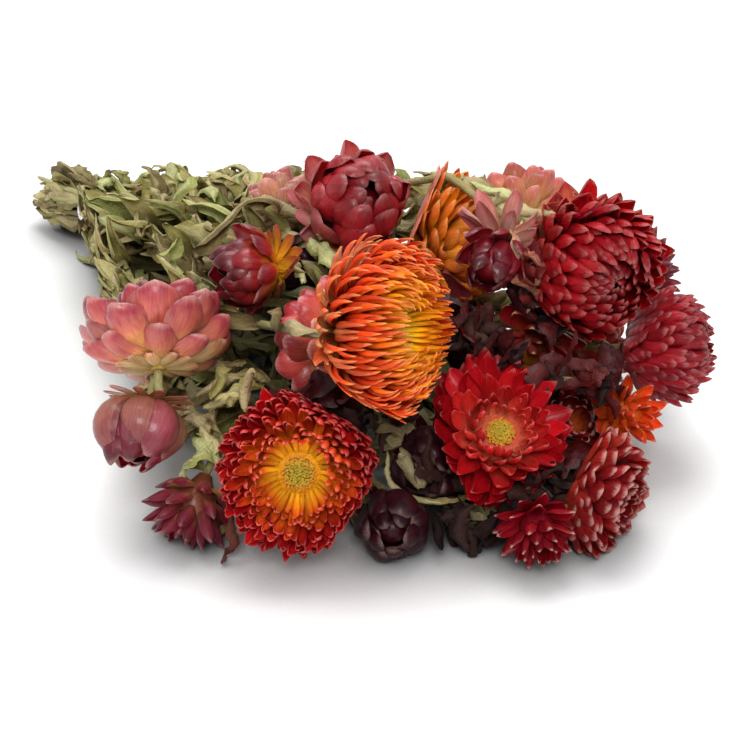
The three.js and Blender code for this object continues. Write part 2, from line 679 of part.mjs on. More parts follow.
function bandGeometry(slots) {
  const inner = Math.max(...slots.map((slot) => slot.away)) + STEM.radius + GAP;
  const [outer, half] = [inner + BAND.thick, BAND.width / 2];
  const edge = 0.4 * BAND.thick;
  const profile = [
    [inner, -half], [outer - edge, -half], [outer, -half + edge],
    [outer, half - edge], [outer - edge, half], [inner, half], [inner, -half],
  ];
  const lathe = new THREE.LatheGeometry(profile.map(([x, y]) => new THREE.Vector2(x, y)), BAND.sides);
  lathe.rotateZ(-Math.PI / 2);
  return lathe.translate(0, 0, BAND.height);
}

// ---- The bunch -------------------------------------------------------------------------------

function meshOf(name, solid, color, roughness) {
  const material = new THREE.MeshStandardMaterial({ color, roughness, metalness: 0, side: THREE.DoubleSide });
  const mesh = new THREE.Mesh(geometryOf(solid), material);
  mesh.name = name;
  return mesh;
}

// Cuts a bloom's bracts back from the stems that pass close by.
function clearOfStems(solid, stems) {
  const close = stems.filter((stem) => overlap(solid, stem.roomy) > 0);
  return close.length ? solid.subtract(wasm.Manifold.union(close.map((stem) => stem.roomy))) : solid;
}

function grownStems(blooms, slots) {
  const routes = easedRoutes(blooms.map((bloom, k) => firstRoute(bloom, slots[k])), blooms);
  return routes.map((route, k) => {
    const random = seeded(2000 + k);
    const curve = stemCurve(route, slots[k], random);
    return { random, curve, solid: solidOf(stemGeometry(curve)), roomy: solidOf(stemGeometry(curve, GAP)) };
  });
}

function grownBunch() {
  const blooms = BLOOMS.map(placed);
  blooms.forEach((bloom) => { bloom.walls = wallsOf(bloom, blooms); });
  const slots = slotsOf(blooms);
  const stems = grownStems(blooms, slots);
  const heads = blooms.map((bloom, k) => tidied(clearOfStems(bloomSolid(bloom, k), stems)));
  const band = solidOf(bandGeometry(slots));
  const withDisc = blooms.filter((bloom) => DISCS[bloom.name]);
  const discs = withDisc.map((bloom) => solidOf(discGeometry(bloom)));
  const settled = [...heads, band, ...discs, ...stems.map((stem) => stem.solid)];
  const group = new THREE.Group();
  blooms.forEach((bloom, k) => group.add(meshOf(`bloom_${bloom.name}`, heads[k], bloom.color, 0.55)));
  stems.forEach((stem, k) => {
    const leafy = tidied(leafySolid(stem, settled));
    settled[settled.indexOf(stem.solid)] = leafy;
    group.add(meshOf(`leafy_stem_${blooms[k].name}`, leafy, STEM_COLOR, 0.85));
  });
  group.add(meshOf("tie_band", band, BAND_COLOR, 0.4));
  withDisc.forEach((bloom, k) => group.add(meshOf(`disc_${bloom.name}`, discs[k], DISC_COLOR, 0.9)));
  return group;
}

// Moves the bunch so that the middle of its bounding box's bottom is the origin.
function centred(group) {
  const box = new THREE.Box3().setFromObject(group, true);
  const middle = box.getCenter(new THREE.Vector3());
  group.position.set(-middle.x, -middle.y, -box.min.z);
  return group;
}

export default centred(grownBunch());
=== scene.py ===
"""A dried bunch of strawflowers lying on its side, dressed over its solid parts.

The plan of the bunch is written in millimetres in a layout frame: x runs along the stems from the
middle of the elastic band to the blooms, y across them, and z up from the table. Meshes are made in
that frame and moved to the scene's metres when they become objects.
"""

import logging
import math
from dataclasses import dataclass, field, fields
from enum import Enum, IntEnum
from functools import cache
from typing import Callable

import bpy
import numpy as np
from mathutils import Matrix, Vector


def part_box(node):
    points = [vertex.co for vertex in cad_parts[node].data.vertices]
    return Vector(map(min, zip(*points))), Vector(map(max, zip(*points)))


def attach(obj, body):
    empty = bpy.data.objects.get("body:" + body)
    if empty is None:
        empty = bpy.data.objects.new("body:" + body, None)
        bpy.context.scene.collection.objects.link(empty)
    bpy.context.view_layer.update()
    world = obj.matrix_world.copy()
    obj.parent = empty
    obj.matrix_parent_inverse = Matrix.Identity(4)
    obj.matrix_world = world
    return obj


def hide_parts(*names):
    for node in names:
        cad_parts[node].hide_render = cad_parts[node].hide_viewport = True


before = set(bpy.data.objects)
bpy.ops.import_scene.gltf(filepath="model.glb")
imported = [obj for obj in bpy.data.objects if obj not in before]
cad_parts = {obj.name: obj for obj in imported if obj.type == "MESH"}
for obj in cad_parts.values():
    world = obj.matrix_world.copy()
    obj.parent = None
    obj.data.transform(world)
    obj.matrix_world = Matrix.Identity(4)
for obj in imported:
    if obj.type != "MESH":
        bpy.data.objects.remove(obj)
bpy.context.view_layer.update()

LOG = logging.getLogger("strawflowers")
MM = 0.001

Array = np.ndarray
Random = np.random.Generator
Pair = tuple[float, float]
Point = tuple[float, float, float]
Item = bpy.types.Object
Material = bpy.types.Material
Socket = bpy.types.NodeSocket
Value = Socket | float
Colors = str  # three hex colours with spaces between
Blades = tuple[Array, Array, Array]  # points, marks and grain of blades
Way = tuple[Array, Array, Array]  # a leaf's start, its stem's direction and its own
Stretch = tuple[Array, Array, float]  # both ends of a stretch of stem, and the radius to keep clear

NECK_SEAT = 2.2  # radius of a head's flat foot, where its stem ends
ROOT_DEPTH = 3.0  # how far a bract's root is sunk into the middle of its head
GAP = 0.3  # between pieces that touch
WALL_MARGIN = 0.6  # how far a head stops before the wall between it and a neighbour
WALL_REACH = 1.5  # neighbours count up to this share of both heads' reach
KNEE = 0.7  # a head is pressed from this share of the way to a wall
PRESS_ON_TABLE = 2.8
BAND_HEIGHT = 24.0  # of the band's middle above the table
GRIP = 9.0  # the stems run straight this far on each side of the band's middle
BRACT_THICKNESS = 0.28
LEAF_THICKNESS = 0.32
UPRIGHT = (0.0, 0.0, 1.0)


# ---- Plan of the heads ----


class Form(Enum):
    """Ways in which a strawflower head opens and dries."""

    DAISY = "daisy"
    LOTUS = "lotus"
    SHAGGY = "shaggy"
    FULL = "full"
    GLOBE = "globe"
    CUP = "cup"
    GOBLET = "goblet"
    PARASOL = "parasol"
    OPEN = "open"
    WIDE = "wide"
    STAR = "star"
    BUD = "bud"


class Outline(Enum):
    """Outlines of a bract: the powers of its widening, and of how late and how bluntly it closes."""

    POINTED = (0.55, 2.6, 0.95)
    ROUNDED = (0.5, 5.0, 0.75)
    SPOON = (0.4, 3.6, 0.5)
    STRAP = (0.3, 2.4, 0.85)


class Core(Enum):
    """Outlines of a head's solid middle above its foot: shares of the radius and of the half height."""

    LOW = ((0.36, -0.3), (0.3, 0.12))
    EGG = ((0.4, -0.35), (0.4, 0.15), (0.2, 0.45))


@dataclass(frozen=True)
class Tier:
    """A level of bracts in a head; the rings between two levels are blended from them.

    root is a share of the head's half height, length of its radius, and width of the bract's own
    length; the leans are degrees from the head's axis, at the bract's root and at its tip.
    """

    count: float
    root: float
    length: float
    lean_root: float
    lean_tip: float
    width: float

    def blended(self, other: "Tier", share: float) -> "Tier":
        """Blends this level with the next one."""
        names = [entry.name for entry in fields(self)]
        return Tier(*(lerp(getattr(self, name), getattr(other, name), share) for name in names))


@dataclass(frozen=True)
class Habit:
    """How the bracts of one form grow, in levels from the outermost to the innermost.

    cup and hood are how much a bract is hollowed all
    along and at its tip, recurve is how many degrees its tip bends on, stray how uneven the bracts
    are, and lop how much shorter they are on the head's upper side. rows and columns are the points
    of a bract.
    """

    tiers: tuple[Tier, ...]
    rings: int
    outline: Outline
    cup: float
    hood: float
    recurve: float
    core: Core = Core.LOW
    rows: int = 9
    columns: int = 5
    stray: float = 1.0
    lop: float = 0.0

    def tier(self, share: float) -> Tier:
        """Blends the levels of bracts.

        Args:
            share: 0 for the outermost ring, 1 for the innermost.

        Returns:
            The level of bracts there.
        """
        place = share * (len(self.tiers) - 1)
        low = min(int(place), len(self.tiers) - 2)
        return self.tiers[low].blended(self.tiers[low + 1], place - low)


def tiers(*rows: tuple[float, ...]) -> tuple[Tier, ...]:
    """Makes levels of bracts from rows of their numbers."""
    return tuple(Tier(*row) for row in rows)


HABITS: dict[Form, Habit] = {
    Form.DAISY: Habit(
        tiers(
            (24, -0.6, 0.9, 102, 50, 0.105), (28, -0.38, 0.92, 92, 34, 0.095),
            (30, -0.15, 0.8, 76, 24, 0.09), (30, 0.05, 0.5, 58, 10, 0.08)),
        14, Outline.ROUNDED, cup=0.35, hood=0.9, recurve=-48, stray=2.4,
    ),
    Form.LOTUS: Habit(
        tiers(
            (12, -0.6, 0.98, 102, 86, 0.17), (13, -0.34, 0.96, 90, 68, 0.16),
            (12, -0.12, 0.7, 66, 24, 0.17), (16, 0.0, 0.44, 40, -16, 0.16)),
        9, Outline.POINTED, cup=0.4, hood=0.8, recurve=-14, stray=2.4, lop=0.26,
    ),
    Form.SHAGGY: Habit(
        tiers(
            (14, -0.6, 0.44, 110, 96, 0.2), (34, -0.5, 1.04, 102, 56, 0.048),
            (44, -0.32, 1.02, 98, 18, 0.05), (46, -0.18, 0.94, 86, 10, 0.047),
            (42, -0.04, 0.72, 68, 4, 0.048), (34, 0.04, 0.46, 46, -4, 0.056)),
        15, Outline.STRAP, cup=0.5, hood=0.4, recurve=-58, rows=11, stray=3.2,
    ),
    Form.FULL: Habit(
        tiers(
            (12, -0.75, 0.98, 102, 76, 0.19), (17, -0.55, 1.06, 98, 46, 0.16),
            (22, -0.3, 1.08, 84, -2, 0.125), (20, 0.0, 1.0, 60, -38, 0.105),
            (12, 0.28, 0.62, 34, -62, 0.12)),
        14, Outline.ROUNDED, cup=0.4, hood=0.9, recurve=-24, core=Core.EGG, stray=2.0,
    ),
    Form.GLOBE: Habit(
        tiers(
            (11, -0.8, 1.2, 104, 86, 0.19), (10, -0.62, 1.22, 104, 20, 0.22),
            (9, -0.5, 1.4, 98, -46, 0.24), (8, -0.2, 1.3, 84, -68, 0.24), (6, 0.1, 1.0, 62, -84, 0.24)),
        6, Outline.SPOON, cup=0.4, hood=0.4, recurve=-14, core=Core.EGG, rows=11, columns=7, stray=1.8,
    ),
    Form.CUP: Habit(
        tiers(
            (11, -0.95, 0.46, 100, 92, 0.21), (9, -0.76, 0.96, 108, 62, 0.25),
            (7, -0.56, 1.06, 104, 34, 0.29), (7, -0.4, 0.9, 94, 22, 0.29), (5, 0.0, 0.62, 58, -4, 0.3)),
        6, Outline.SPOON, cup=0.5, hood=0.15, recurve=-42, rows=11, columns=7, stray=1.3,
    ),
    Form.GOBLET: Habit(
        tiers(
            (12, -0.9, 1.2, 122, 134, 0.15), (11, -0.88, 1.15, 110, 112, 0.15),
            (7, -0.82, 1.6, 104, -52, 0.22), (6, -0.7, 1.5, 100, -58, 0.24), (5, -0.3, 1.2, 84, -60, 0.24)),
        6, Outline.ROUNDED, cup=0.4, hood=0.4, recurve=-6, rows=13, columns=7, stray=1.4,
    ),
    Form.PARASOL: Habit(
        tiers(
            (10, -0.9, 1.25, 108, 98, 0.15), (9, -0.85, 1.1, 98, 84, 0.16),
            (6, -0.8, 1.15, 102, -50, 0.24), (5, -0.6, 1.1, 96, -56, 0.26), (4, -0.3, 0.9, 84, -60, 0.26)),
        6, Outline.ROUNDED, cup=0.4, hood=0.4, recurve=-6, rows=11, columns=7, stray=1.6,
    ),
    Form.OPEN: Habit(
        tiers(
            (14, -0.55, 1.0, 100, 66, 0.22), (14, -0.15, 0.92, 78, 30, 0.21), (11, 0.06, 0.5, 40, -8, 0.2)),
        9, Outline.ROUNDED, cup=0.22, hood=0.4, recurve=-24, stray=2.2,
    ),
    Form.WIDE: Habit(
        tiers(
            (13, -0.6, 1.3, 106, 86, 0.19), (14, -0.35, 1.15, 94, 60, 0.18),
            (14, -0.1, 0.86, 74, 30, 0.18), (12, 0.06, 0.5, 40, -8, 0.2)),
        10, Outline.ROUNDED, cup=0.3, hood=0.4, recurve=-24, stray=2.2,
    ),
    Form.STAR: Habit(
        tiers(
            (8, -0.6, 0.98, 100, 64, 0.19), (8, -0.1, 0.9, 68, 16, 0.19), (6, 0.18, 0.6, 32, -16, 0.2)),
        5, Outline.POINTED, cup=0.6, hood=0.7, recurve=4, core=Core.EGG, rows=11,
    ),
    Form.BUD: Habit(
        tiers(
            (11, -0.9, 0.98, 120, 92, 0.15), (7, -0.85, 1.95, 112, -76, 0.21),
            (6, -0.75, 1.85, 108, -80, 0.22), (5, -0.3, 1.3, 84, -70, 0.22)),
        4, Outline.SPOON, cup=0.35, hood=0.3, recurve=-6, core=Core.EGG, rows=13, columns=7,
    ),
}


# ---- Repeatable numbers and small geometry ----


class Draws:
    """A repeatable source of numbers between 0 and 1, the same in every run."""

    BITS = 0xFFFFFFFF
    STRIDE = 0x6D2B79F5

    def __init__(self, seed: int) -> None:
        """Starts the source at a seed."""
        self.state = seed & self.BITS

    def next(self) -> float:
        """Draws the next number."""
        self.state = mixed = (self.state + self.STRIDE) & self.BITS
        mixed = ((mixed ^ (mixed >> 15)) * (mixed | 1)) & self.BITS
        turn = ((mixed ^ (mixed >> 7)) * (mixed | 61)) & self.BITS
        mixed ^= (mixed + turn) & self.BITS
        return ((mixed ^ (mixed >> 14)) & self.BITS) / (self.BITS + 1)

    def between(self, low: float, high: float) -> float:
        """Draws a number between two limits."""
        return low + (high - low) * self.next()


def lerp(low: float | Array, high: float | Array, share: float | Array) -> float | Array:
    """Blends two numbers or points."""
    return low + (high - low) * share


def unit(vector: Array) -> Array:
    """Scales vectors to length one, along the last axis."""
    return vector / np.maximum(np.linalg.norm(vector, axis=-1, keepdims=True), 1e-12)


def heading_of(azimuth: float, elevation: float) -> Array:
    """Gives the direction at an azimuth and elevation in degrees."""
    a, e = math.radians(azimuth), math.radians(elevation)
    return np.array([math.cos(a) * math.cos(e), math.sin(a) * math.cos(e), math.sin(e)])


def round_angles(count: int) -> Array:
    """Lists angles evenly round a circle."""
    return 2 * math.pi * np.arange(count) / count


def turned(vectors: Array, axis: Array, angle: Array | float) -> Array:
    """Turns vectors about an axis.

    Args:
        vectors: The vectors, in rows.
        axis: Unit axis, one for all or one for each row.
        angle: Radians, one for all or one for each row.

    Returns:
        The turned vectors.
    """
    vectors = np.asarray(vectors, float)
    axis = np.broadcast_to(axis, vectors.shape)
    angle = np.asarray(angle, float)[..., None]
    along = np.sum(vectors * axis, axis=-1, keepdims=True) * axis
    return along + np.cos(angle) * (vectors - along) + np.sin(angle) * np.cross(axis, vectors)


def square_to(vector: Array, axis: Array) -> Array:
    """Gives the direction of a vector's part across a unit axis."""
    return unit(vector - (vector @ axis) * axis)


def layout_origin() -> Array:
    """Finds the scene's place of the layout frame's origin, from the band's solid, in millimetres."""
    low, high = (np.array(corner, float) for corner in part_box("tie_band"))
    return (low + high) / 2 / MM - np.array([0, 0, BAND_HEIGHT])


ORIGIN = layout_origin()


# ---- Meshes ----


@dataclass(frozen=True)
class Sheet:
    """Faces of one closed blade: an upper sheet of points, and a lower one that shares its rim."""

    rows: int
    columns: int
    inner: Array = field(init=False, repr=False)
    quads: Array = field(init=False, repr=False)
    rim: Array = field(init=False, repr=False)

    def __post_init__(self) -> None:
        """Numbers the vertices: the upper sheet first, then the lower sheet's inner ones."""
        grid = np.arange(self.rows * self.columns).reshape(self.rows, self.columns)
        inner = np.zeros_like(grid, dtype=bool)
        inner[1:-1, 1:-1] = True
        lower = grid.copy()
        lower[inner] = grid.size + np.arange(inner.sum())
        quads = np.concatenate([self._quads(grid), self._quads(lower)[:, ::-1]])
        rim = np.concatenate([~inner.ravel(), np.zeros(inner.sum(), bool)])
        for name, values in (("inner", inner.ravel()), ("quads", quads), ("rim", rim)):
            object.__setattr__(self, name, values)

    @staticmethod
    def _quads(grid: Array) -> Array:
        """Lists the quads of a grid of vertex numbers."""
        corners = [grid[:-1, :-1], grid[1:, :-1], grid[1:, 1:], grid[:-1, 1:]]
        return np.stack([corner.ravel() for corner in corners], axis=-1)

    def closed(self, points: Array, thickness: float) -> Array:
        """Adds the lower sheet's inner points below the upper ones.

        Args:
            points: Upper points, as blades, rows, columns and coordinates.
            thickness: Thickness of the blade in its middle.

        Returns:
            All points, as blades, points and coordinates.
        """
        normals = unit(np.cross(np.gradient(points, axis=1), np.gradient(points, axis=2)))
        lower = (points - normals * thickness).reshape(len(points), -1, 3)[:, self.inner]
        return np.concatenate([points.reshape(len(points), -1, 3), lower], axis=1)

    def spread(self, values: Array) -> Array:
        """Repeats values of the upper sheet for the lower one.

        Args:
            values: Values as blades, rows, columns and any more axes.

        Returns:
            Values for all points of each blade.
        """
        flat = values.reshape(len(values), self.rows * self.columns, *values.shape[3:])
        return np.concatenate([flat, flat[:, self.inner]], axis=1)


class MeshHeap:
    """Collects the parts of one piece, then makes its Blender object.

    Every point carries four marks and three grains, which the finishes read. The marks are, for a
    bract, the share of its length, its ring's level in the head, its side and its own chance; for a
    leaf or stem, how deep it lies in the bunch comes first. The side is half the distance from the
    middle line for a bract, and a whole number more on a blade's lower sheet. The grain is
    millimetres across and along the blade, and a number of the blade's own.
    """

    def __init__(self) -> None:
        """Starts with nothing."""
        self.parts: list[tuple[Array, ...]] = []
        self.size = 0

    def add(self, points: Array, faces: Array, marks: Array, grain: Array, finish: int = 0,
            rim: Array | None = None) -> None:
        """Adds a part.

        Args:
            points: Points in layout millimetres.
            faces: Rows of point numbers within the part, with -1 as the fourth of a triangle.
            marks: Four marks for each point.
            grain: Three grains for each point.
            finish: Number of the material.
            rim: True for points whose shared edges are sharp.
        """
        rim = np.zeros(len(points), bool) if rim is None else rim
        faces = np.where(faces < 0, -1, faces + self.size)
        self.parts.append((points, faces, np.full(len(faces), finish), rim, marks, grain))
        self.size += len(points)

    def add_blades(self, sheet: Sheet, blades: Blades, thickness: float, finish: int = 0) -> None:
        """Adds closed blades.

        Args:
            sheet: The faces of one blade.
            blades: Points, marks and grain, each as blades, rows, columns and values.
            thickness: Thickness of a blade.
            finish: Number of the material.
        """
        points, marks, grain = blades
        solid = sheet.closed(points, thickness)
        count, size = solid.shape[:2]
        faces = sheet.quads[None] + (np.arange(count) * size)[:, None, None]
        all_marks = sheet.spread(marks)
        all_marks[:, sheet.rows * sheet.columns:, 2] += 1.0
        self.add(solid.reshape(-1, 3), faces.reshape(-1, 4), all_marks.reshape(-1, 4),
                 sheet.spread(grain).reshape(-1, 3), finish, np.tile(sheet.rim, count))

    def to_object(self, name: str, node: str,
                  finishes: tuple["Finish", ...]) -> Item:
        """Makes the object, in metres, and puts it in the place of a solid.

        Args:
            name: Name of the piece.
            node: The solid that it stands for.
            finishes: The piece's finishes, in the order of their numbers.

        Returns:
            The new object.
        """
        points, faces, finish, rim, marks, grain = map(np.concatenate, zip(*self.parts))
        faces = [face if face[3] >= 0 else face[:3] for face in faces.tolist()]
        mesh = bpy.data.meshes.new(name)
        mesh.from_pydata(((points + ORIGIN) * MM).tolist(), [], faces)
        mesh.polygons.foreach_set("material_index", finish.astype(np.int32))
        mesh.shade_smooth()
        ends = np.empty(len(mesh.edges) * 2, np.int32)
        mesh.edges.foreach_get("vertices", ends)
        sharp = mesh.attributes.new("sharp_edge", "BOOLEAN", "EDGE")
        sharp.data.foreach_set("value", rim[ends.reshape(-1, 2)].all(axis=1))
        for attribute, values in (("mark", marks[:, :3]), ("grain", grain)):
            layer = mesh.attributes.new(attribute, "FLOAT_VECTOR", "POINT")
            layer.data.foreach_set("vector", values.astype(np.float32).ravel())
        chance = mesh.attributes.new("chance", "FLOAT", "POINT")
        chance.data.foreach_set("value", marks[:, 3].astype(np.float32))
        for look in finishes:
            mesh.materials.append(material_of(look))
        mesh.update()
        piece = placed(bpy.data.objects.new(name, mesh))
        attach(piece, "root")
        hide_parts(node)
        return piece


def placed(item: Item) -> Item:
    """Links an object to the scene and gives it back."""
    bpy.context.scene.collection.objects.link(item)
    return item


def lathe_faces(rings: int, sides: int) -> Array:
    """Lists the faces of a lathe with a middle point at each end.

    Args:
        rings: Number of rings.
        sides: Number of points in a ring.

    Returns:
        Rows of four point numbers, with -1 as the fourth of a triangle.
    """
    faces = []
    foot, top, last = rings * sides, rings * sides + 1, (rings - 1) * sides
    for k in range(sides):
        after = (k + 1) % sides
        for low in range(0, last, sides):
            faces.append((low + k, low + after, low + sides + after, low + sides + k))
        faces.append((foot, after, k, -1))
        faces.append((top, last + k, last + after, -1))
    return np.array(faces)


# ---- Finishes ----


def linear(code: str) -> tuple[float, float, float, float]:
    """Turns a hex colour into linear red, green, blue and alpha."""
    parts = [int(code[k:k + 2], 16) / 255 for k in (0, 2, 4)]
    red, green, blue = [c / 12.92 if c <= 0.04045 else ((c + 0.055) / 1.055) ** 2.4 for c in parts]
    return (red, green, blue, 1.0)


class Tree:
    """A short way to write the nodes of a material."""

    def __init__(self, name: str) -> None:
        """Makes an empty material.

        Args:
            name: Its name.
        """
        self.material = bpy.data.materials.new(name)
        self.material.use_nodes = True
        self.nodes = self.material.node_tree.nodes
        self.links = self.material.node_tree.links
        self.nodes.clear()

    def node(self, kind: str, inputs: dict | None = None, **settings) -> bpy.types.Node:
        """Adds a node.

        Args:
            kind: Its type, without the ShaderNode in front.
            inputs: Values, hex colours or sockets, by the name or number of the input.
            **settings: Its own settings.

        Returns:
            The node.
        """
        node = self.nodes.new("ShaderNode" + kind)
        for key, value in settings.items():
            setattr(node, key, value)
        for key, value in (inputs or {}).items():
            if isinstance(value, Socket):
                self.links.new(value, node.inputs[key])
            else:
                node.inputs[key].default_value = linear(value) if isinstance(value, str) else value
        return node

    def math(self, operation: str, first: Value, second: Value = 0.0) -> Socket:
        """Adds an operation on two numbers."""
        return self.node("Math", {0: first, 1: second}, operation=operation).outputs[0]

    def product(self, first: Value, *others: Value) -> Socket:
        """Multiplies numbers."""
        for other in others:
            first = self.math("MULTIPLY", first, other)
        return first

    def wander(self, value: Value, noise: Socket, amount: float) -> Socket:
        """Lets a number stray up and down with a noise."""
        return self.math("ADD", value, self.product(self.math("SUBTRACT", noise, 0.5), amount))

    def step(self, value: Value, low: float, high: float, to_low: float = 0.0,
             to_high: float = 1.0) -> Socket:
        """Maps a stretch of a number to another, with smooth ends."""
        inputs = {0: value, 1: low, 2: high, 3: to_low, 4: to_high}
        return self.node("MapRange", inputs, interpolation_type="SMOOTHSTEP").outputs[0]

    def blend(self, share: Value, first: Socket | str, second: Socket | str) -> Socket:
        """Blends two colours."""
        return self.node("Mix", {0: share, 6: first, 7: second}, data_type="RGBA").outputs[2]

    def ramp(self, value: Value, places: Point, colors: Colors) -> Socket:
        """Adds a ramp of colours.

        Args:
            value: The number that it follows.
            places: Where its three colours are.
            colors: The colours.

        Returns:
            The colour.
        """
        node = self.node("ValToRGB", {0: value})
        node.color_ramp.elements.new(0.5)
        for element, place, color in zip(node.color_ramp.elements, places, colors.split()):
            element.position = place
            element.color = linear(color)
        return node.outputs[0]

    def toned(self, color: Socket, tone: Value) -> Socket:
        """Makes a colour lighter or darker."""
        return self.node("HueSaturation", {"Color": color, "Value": tone}).outputs[0]

    def attribute(self, name: str, output: str = "Vector") -> Socket:
        """Reads one of the mesh's own attributes."""
        return self.node("Attribute", attribute_name=name).outputs[output]

    def marks(self) -> tuple[Socket, ...]:
        """Reads the first three marks."""
        return tuple(self.node("SeparateXYZ", {0: self.attribute("mark")}).outputs)

    def chance(self) -> Socket:
        """Reads the fourth mark."""
        return self.attribute("chance", "Fac")

    def noise(self, scale: Point, detail: float = 2.0, rough: float = 0.5) -> Socket:
        """Adds noise of the grain.

        Args:
            scale: Its scale across and along a blade, and from blade to blade.
            detail: How fine it gets.
            rough: How much of it is fine.

        Returns:
            The noise, about 0.5 on average.
        """
        grain = self.node("VectorMath", {0: self.attribute("grain"), 1: scale}, operation="MULTIPLY")
        inputs = {"Vector": grain.outputs[0], "Scale": 1.0, "Detail": detail, "Roughness": rough}
        return self.node("TexNoise", inputs).outputs[0]

    def bump(self, height: Socket, distance: float, strength: float = 1.0) -> Socket:
        """Turns a height into a bumped normal."""
        inputs = {"Height": height, "Distance": distance, "Strength": strength}
        return self.node("Bump", inputs).outputs[0]

    def surface(self, inputs: dict) -> Material:
        """Ends the material in a principled surface."""
        self.node("OutputMaterial", {0: self.node("BsdfPrincipled", inputs).outputs[0]})
        return self.material


UNDERSIDE = (0.6, 0.9)  # the stretch of the side mark that leads to a blade's lower sheet
STREAKED = (0.25, 0.75, 0.74, 1.2)  # how streaks change the tone


@dataclass(frozen=True)
class Finish:
    """A look that pieces share."""

    name: str

    def material(self) -> Material:
        """Makes the material."""
        raise NotImplementedError


@cache
def material_of(finish: Finish) -> Material:
    """Gives the material of a finish, made once."""
    return finish.material()


@dataclass(frozen=True)
class BractFinish(Finish):
    """Papery bracts: three colours from root to tip, for the outer, middle and inner rings.

    under is the colour of their outsides and fade how much of it shows; fringe is a pale colour
    painted on their very tips, a painted highlight for the light that they catch, and dry how much
    of it shows; depth is how dark their roots are, painted shade deep in the head, gloss how much
    they shine, rim how much their edges take the colour of the tips, and spread the level where the
    outer rings' colours end.
    """

    outer: Colors
    middle: Colors
    inner: Colors
    under: str = "d9a8a0"
    fade: float = 0.15
    # fringe and dry: a pale colour painted on the very tips, a painted highlight
    fringe: str = "e8b4aa"
    dry: float = 0.35
    # depth: how dark the roots are, painted shade deep in the head
    depth: float = 0.35
    gloss: float = 1.0
    rim: float = 0.3
    spread: float = 0.36

    PLACES = (0.2, 0.55, 0.94)  # of the three colours along a bract
    STREAKS = (3.2, 0.22, 1.0)
    PATCHES = (0.3, 0.16, 1.0)

    def material(self) -> Material:
        """Makes the material: colour by ring and along the bract, streaks, fading and shine.

        Returns:
            The material.
        """
        tree = Tree("bract_" + self.name)
        along, level, side = tree.marks()
        chance = tree.chance()
        streaks = tree.noise(self.STREAKS, 3.0, 0.6)
        patches = tree.noise(self.PATCHES)
        color = self._ringed(tree, tree.wander(along, patches, 0.5), tree.wander(level, chance, 0.2))
        faded = tree.step(along, 0.1, 0.9, self.fade, self.fade * 0.6)
        color = tree.blend(tree.product(tree.step(side, *UNDERSIDE), faded), color, self.under)
        edge = tree.step(tree.math("FRACT", side), 0.22, 0.5)
        color = tree.blend(tree.product(edge, self.rim), color, self.middle.split()[2])
        # tone: streaks, a chance for each bract, and painted shade that darkens the roots by depth
        tone = tree.product(
            tree.step(streaks, *STREAKED),
            tree.step(chance, 0.0, 1.0, 0.72, 1.26),
            tree.step(along, 0.1, 0.75, 1 - self.depth, 1.0),
        )
        # painted highlight: the very tips turn to the pale tip colour, for the light that they catch
        torn = tree.step(tree.wander(along, streaks, 0.1), 0.88, 0.98, 0.0, self.dry)
        height = tree.math("ADD", streaks, tree.product(patches, 1.4))
        return tree.surface({
            "Base Color": tree.blend(torn, tree.toned(color, tone), self.fringe),
            "Roughness": tree.step(streaks, 0.2, 0.8, 0.26, 0.46),
            "Specular IOR Level": 0.3 * self.gloss,
            "Coat Weight": 0.22 * self.gloss,
            "Coat Roughness": 0.16,
            "Subsurface Weight": 0.25,
            "Subsurface Radius": (1.0, 0.22, 0.14),
            "Subsurface Scale": 0.003,
            "Normal": tree.bump(height, 0.00022, 0.8),
        })

    def _ringed(self, tree: Tree, along: Socket, level: Socket) -> Socket:
        """Adds the colours, by place along the bract and by ring.

        Args:
            tree: The material's nodes.
            along: Uneven share of the bract's length.
            level: Uneven level of its ring.

        Returns:
            The colour.
        """
        rings = (self.outer, self.middle, self.inner)
        outer, middle, inner = (tree.ramp(along, self.PLACES, colors) for colors in rings)
        color = tree.blend(tree.step(level, 0.05, self.spread), outer, middle)
        return tree.blend(tree.step(level, 0.55, 0.95), color, inner)


@dataclass(frozen=True)
class DryFinish(Finish):
    """A dry leaf, stem or torn bract: three colours in patches, and a paler, crumpled underside.

    It darkens with its depth in the bunch, as painted shade where the bunch closes over it. crumple
    is the height of its veins and fibres in metres.
    """

    colors: Colors
    pale: str
    roughness: float = 0.78
    crumple: float = 0.0005

    PLACES = (0.28, 0.56, 0.86)  # of the three colours in the patches
    PATCHES = (0.25, 0.12, 1.0)
    FIBRES = (2.6, 0.25, 1.0)
    VEINS = (0.9, 0.9, 1.0)
    BURIED = (0.15, 0.75, 1.06, 0.42)  # how depth changes the tone: painted shade

    def material(self) -> Material:
        """Makes the material.

        Returns:
            The material.
        """
        tree = Tree(self.name)
        depth, _, side = tree.marks()
        patches = tree.noise(self.PATCHES, 4.0, 0.6)
        fibres = tree.noise(self.FIBRES, 3.0, 0.6)
        veins = tree.noise(self.VEINS, 3.0, 0.55)
        mixed = tree.math("ADD", tree.product(patches, 0.6), tree.product(tree.chance(), 0.55))
        color = tree.ramp(mixed, self.PLACES, self.colors)
        color = tree.blend(tree.step(side, *UNDERSIDE, 0.0, 0.45), color, self.pale)
        # painted shade: darker the deeper it lies in the bunch
        tone = tree.product(tree.step(fibres, *STREAKED), tree.step(depth, *self.BURIED))
        height = tree.math("ADD", tree.product(veins, 1.5), tree.product(fibres, 0.6))
        return tree.surface({
            "Base Color": tree.toned(color, tone),
            "Roughness": self.roughness,
            "Specular IOR Level": 0.3,
            "Normal": tree.bump(height, self.crumple),
        })


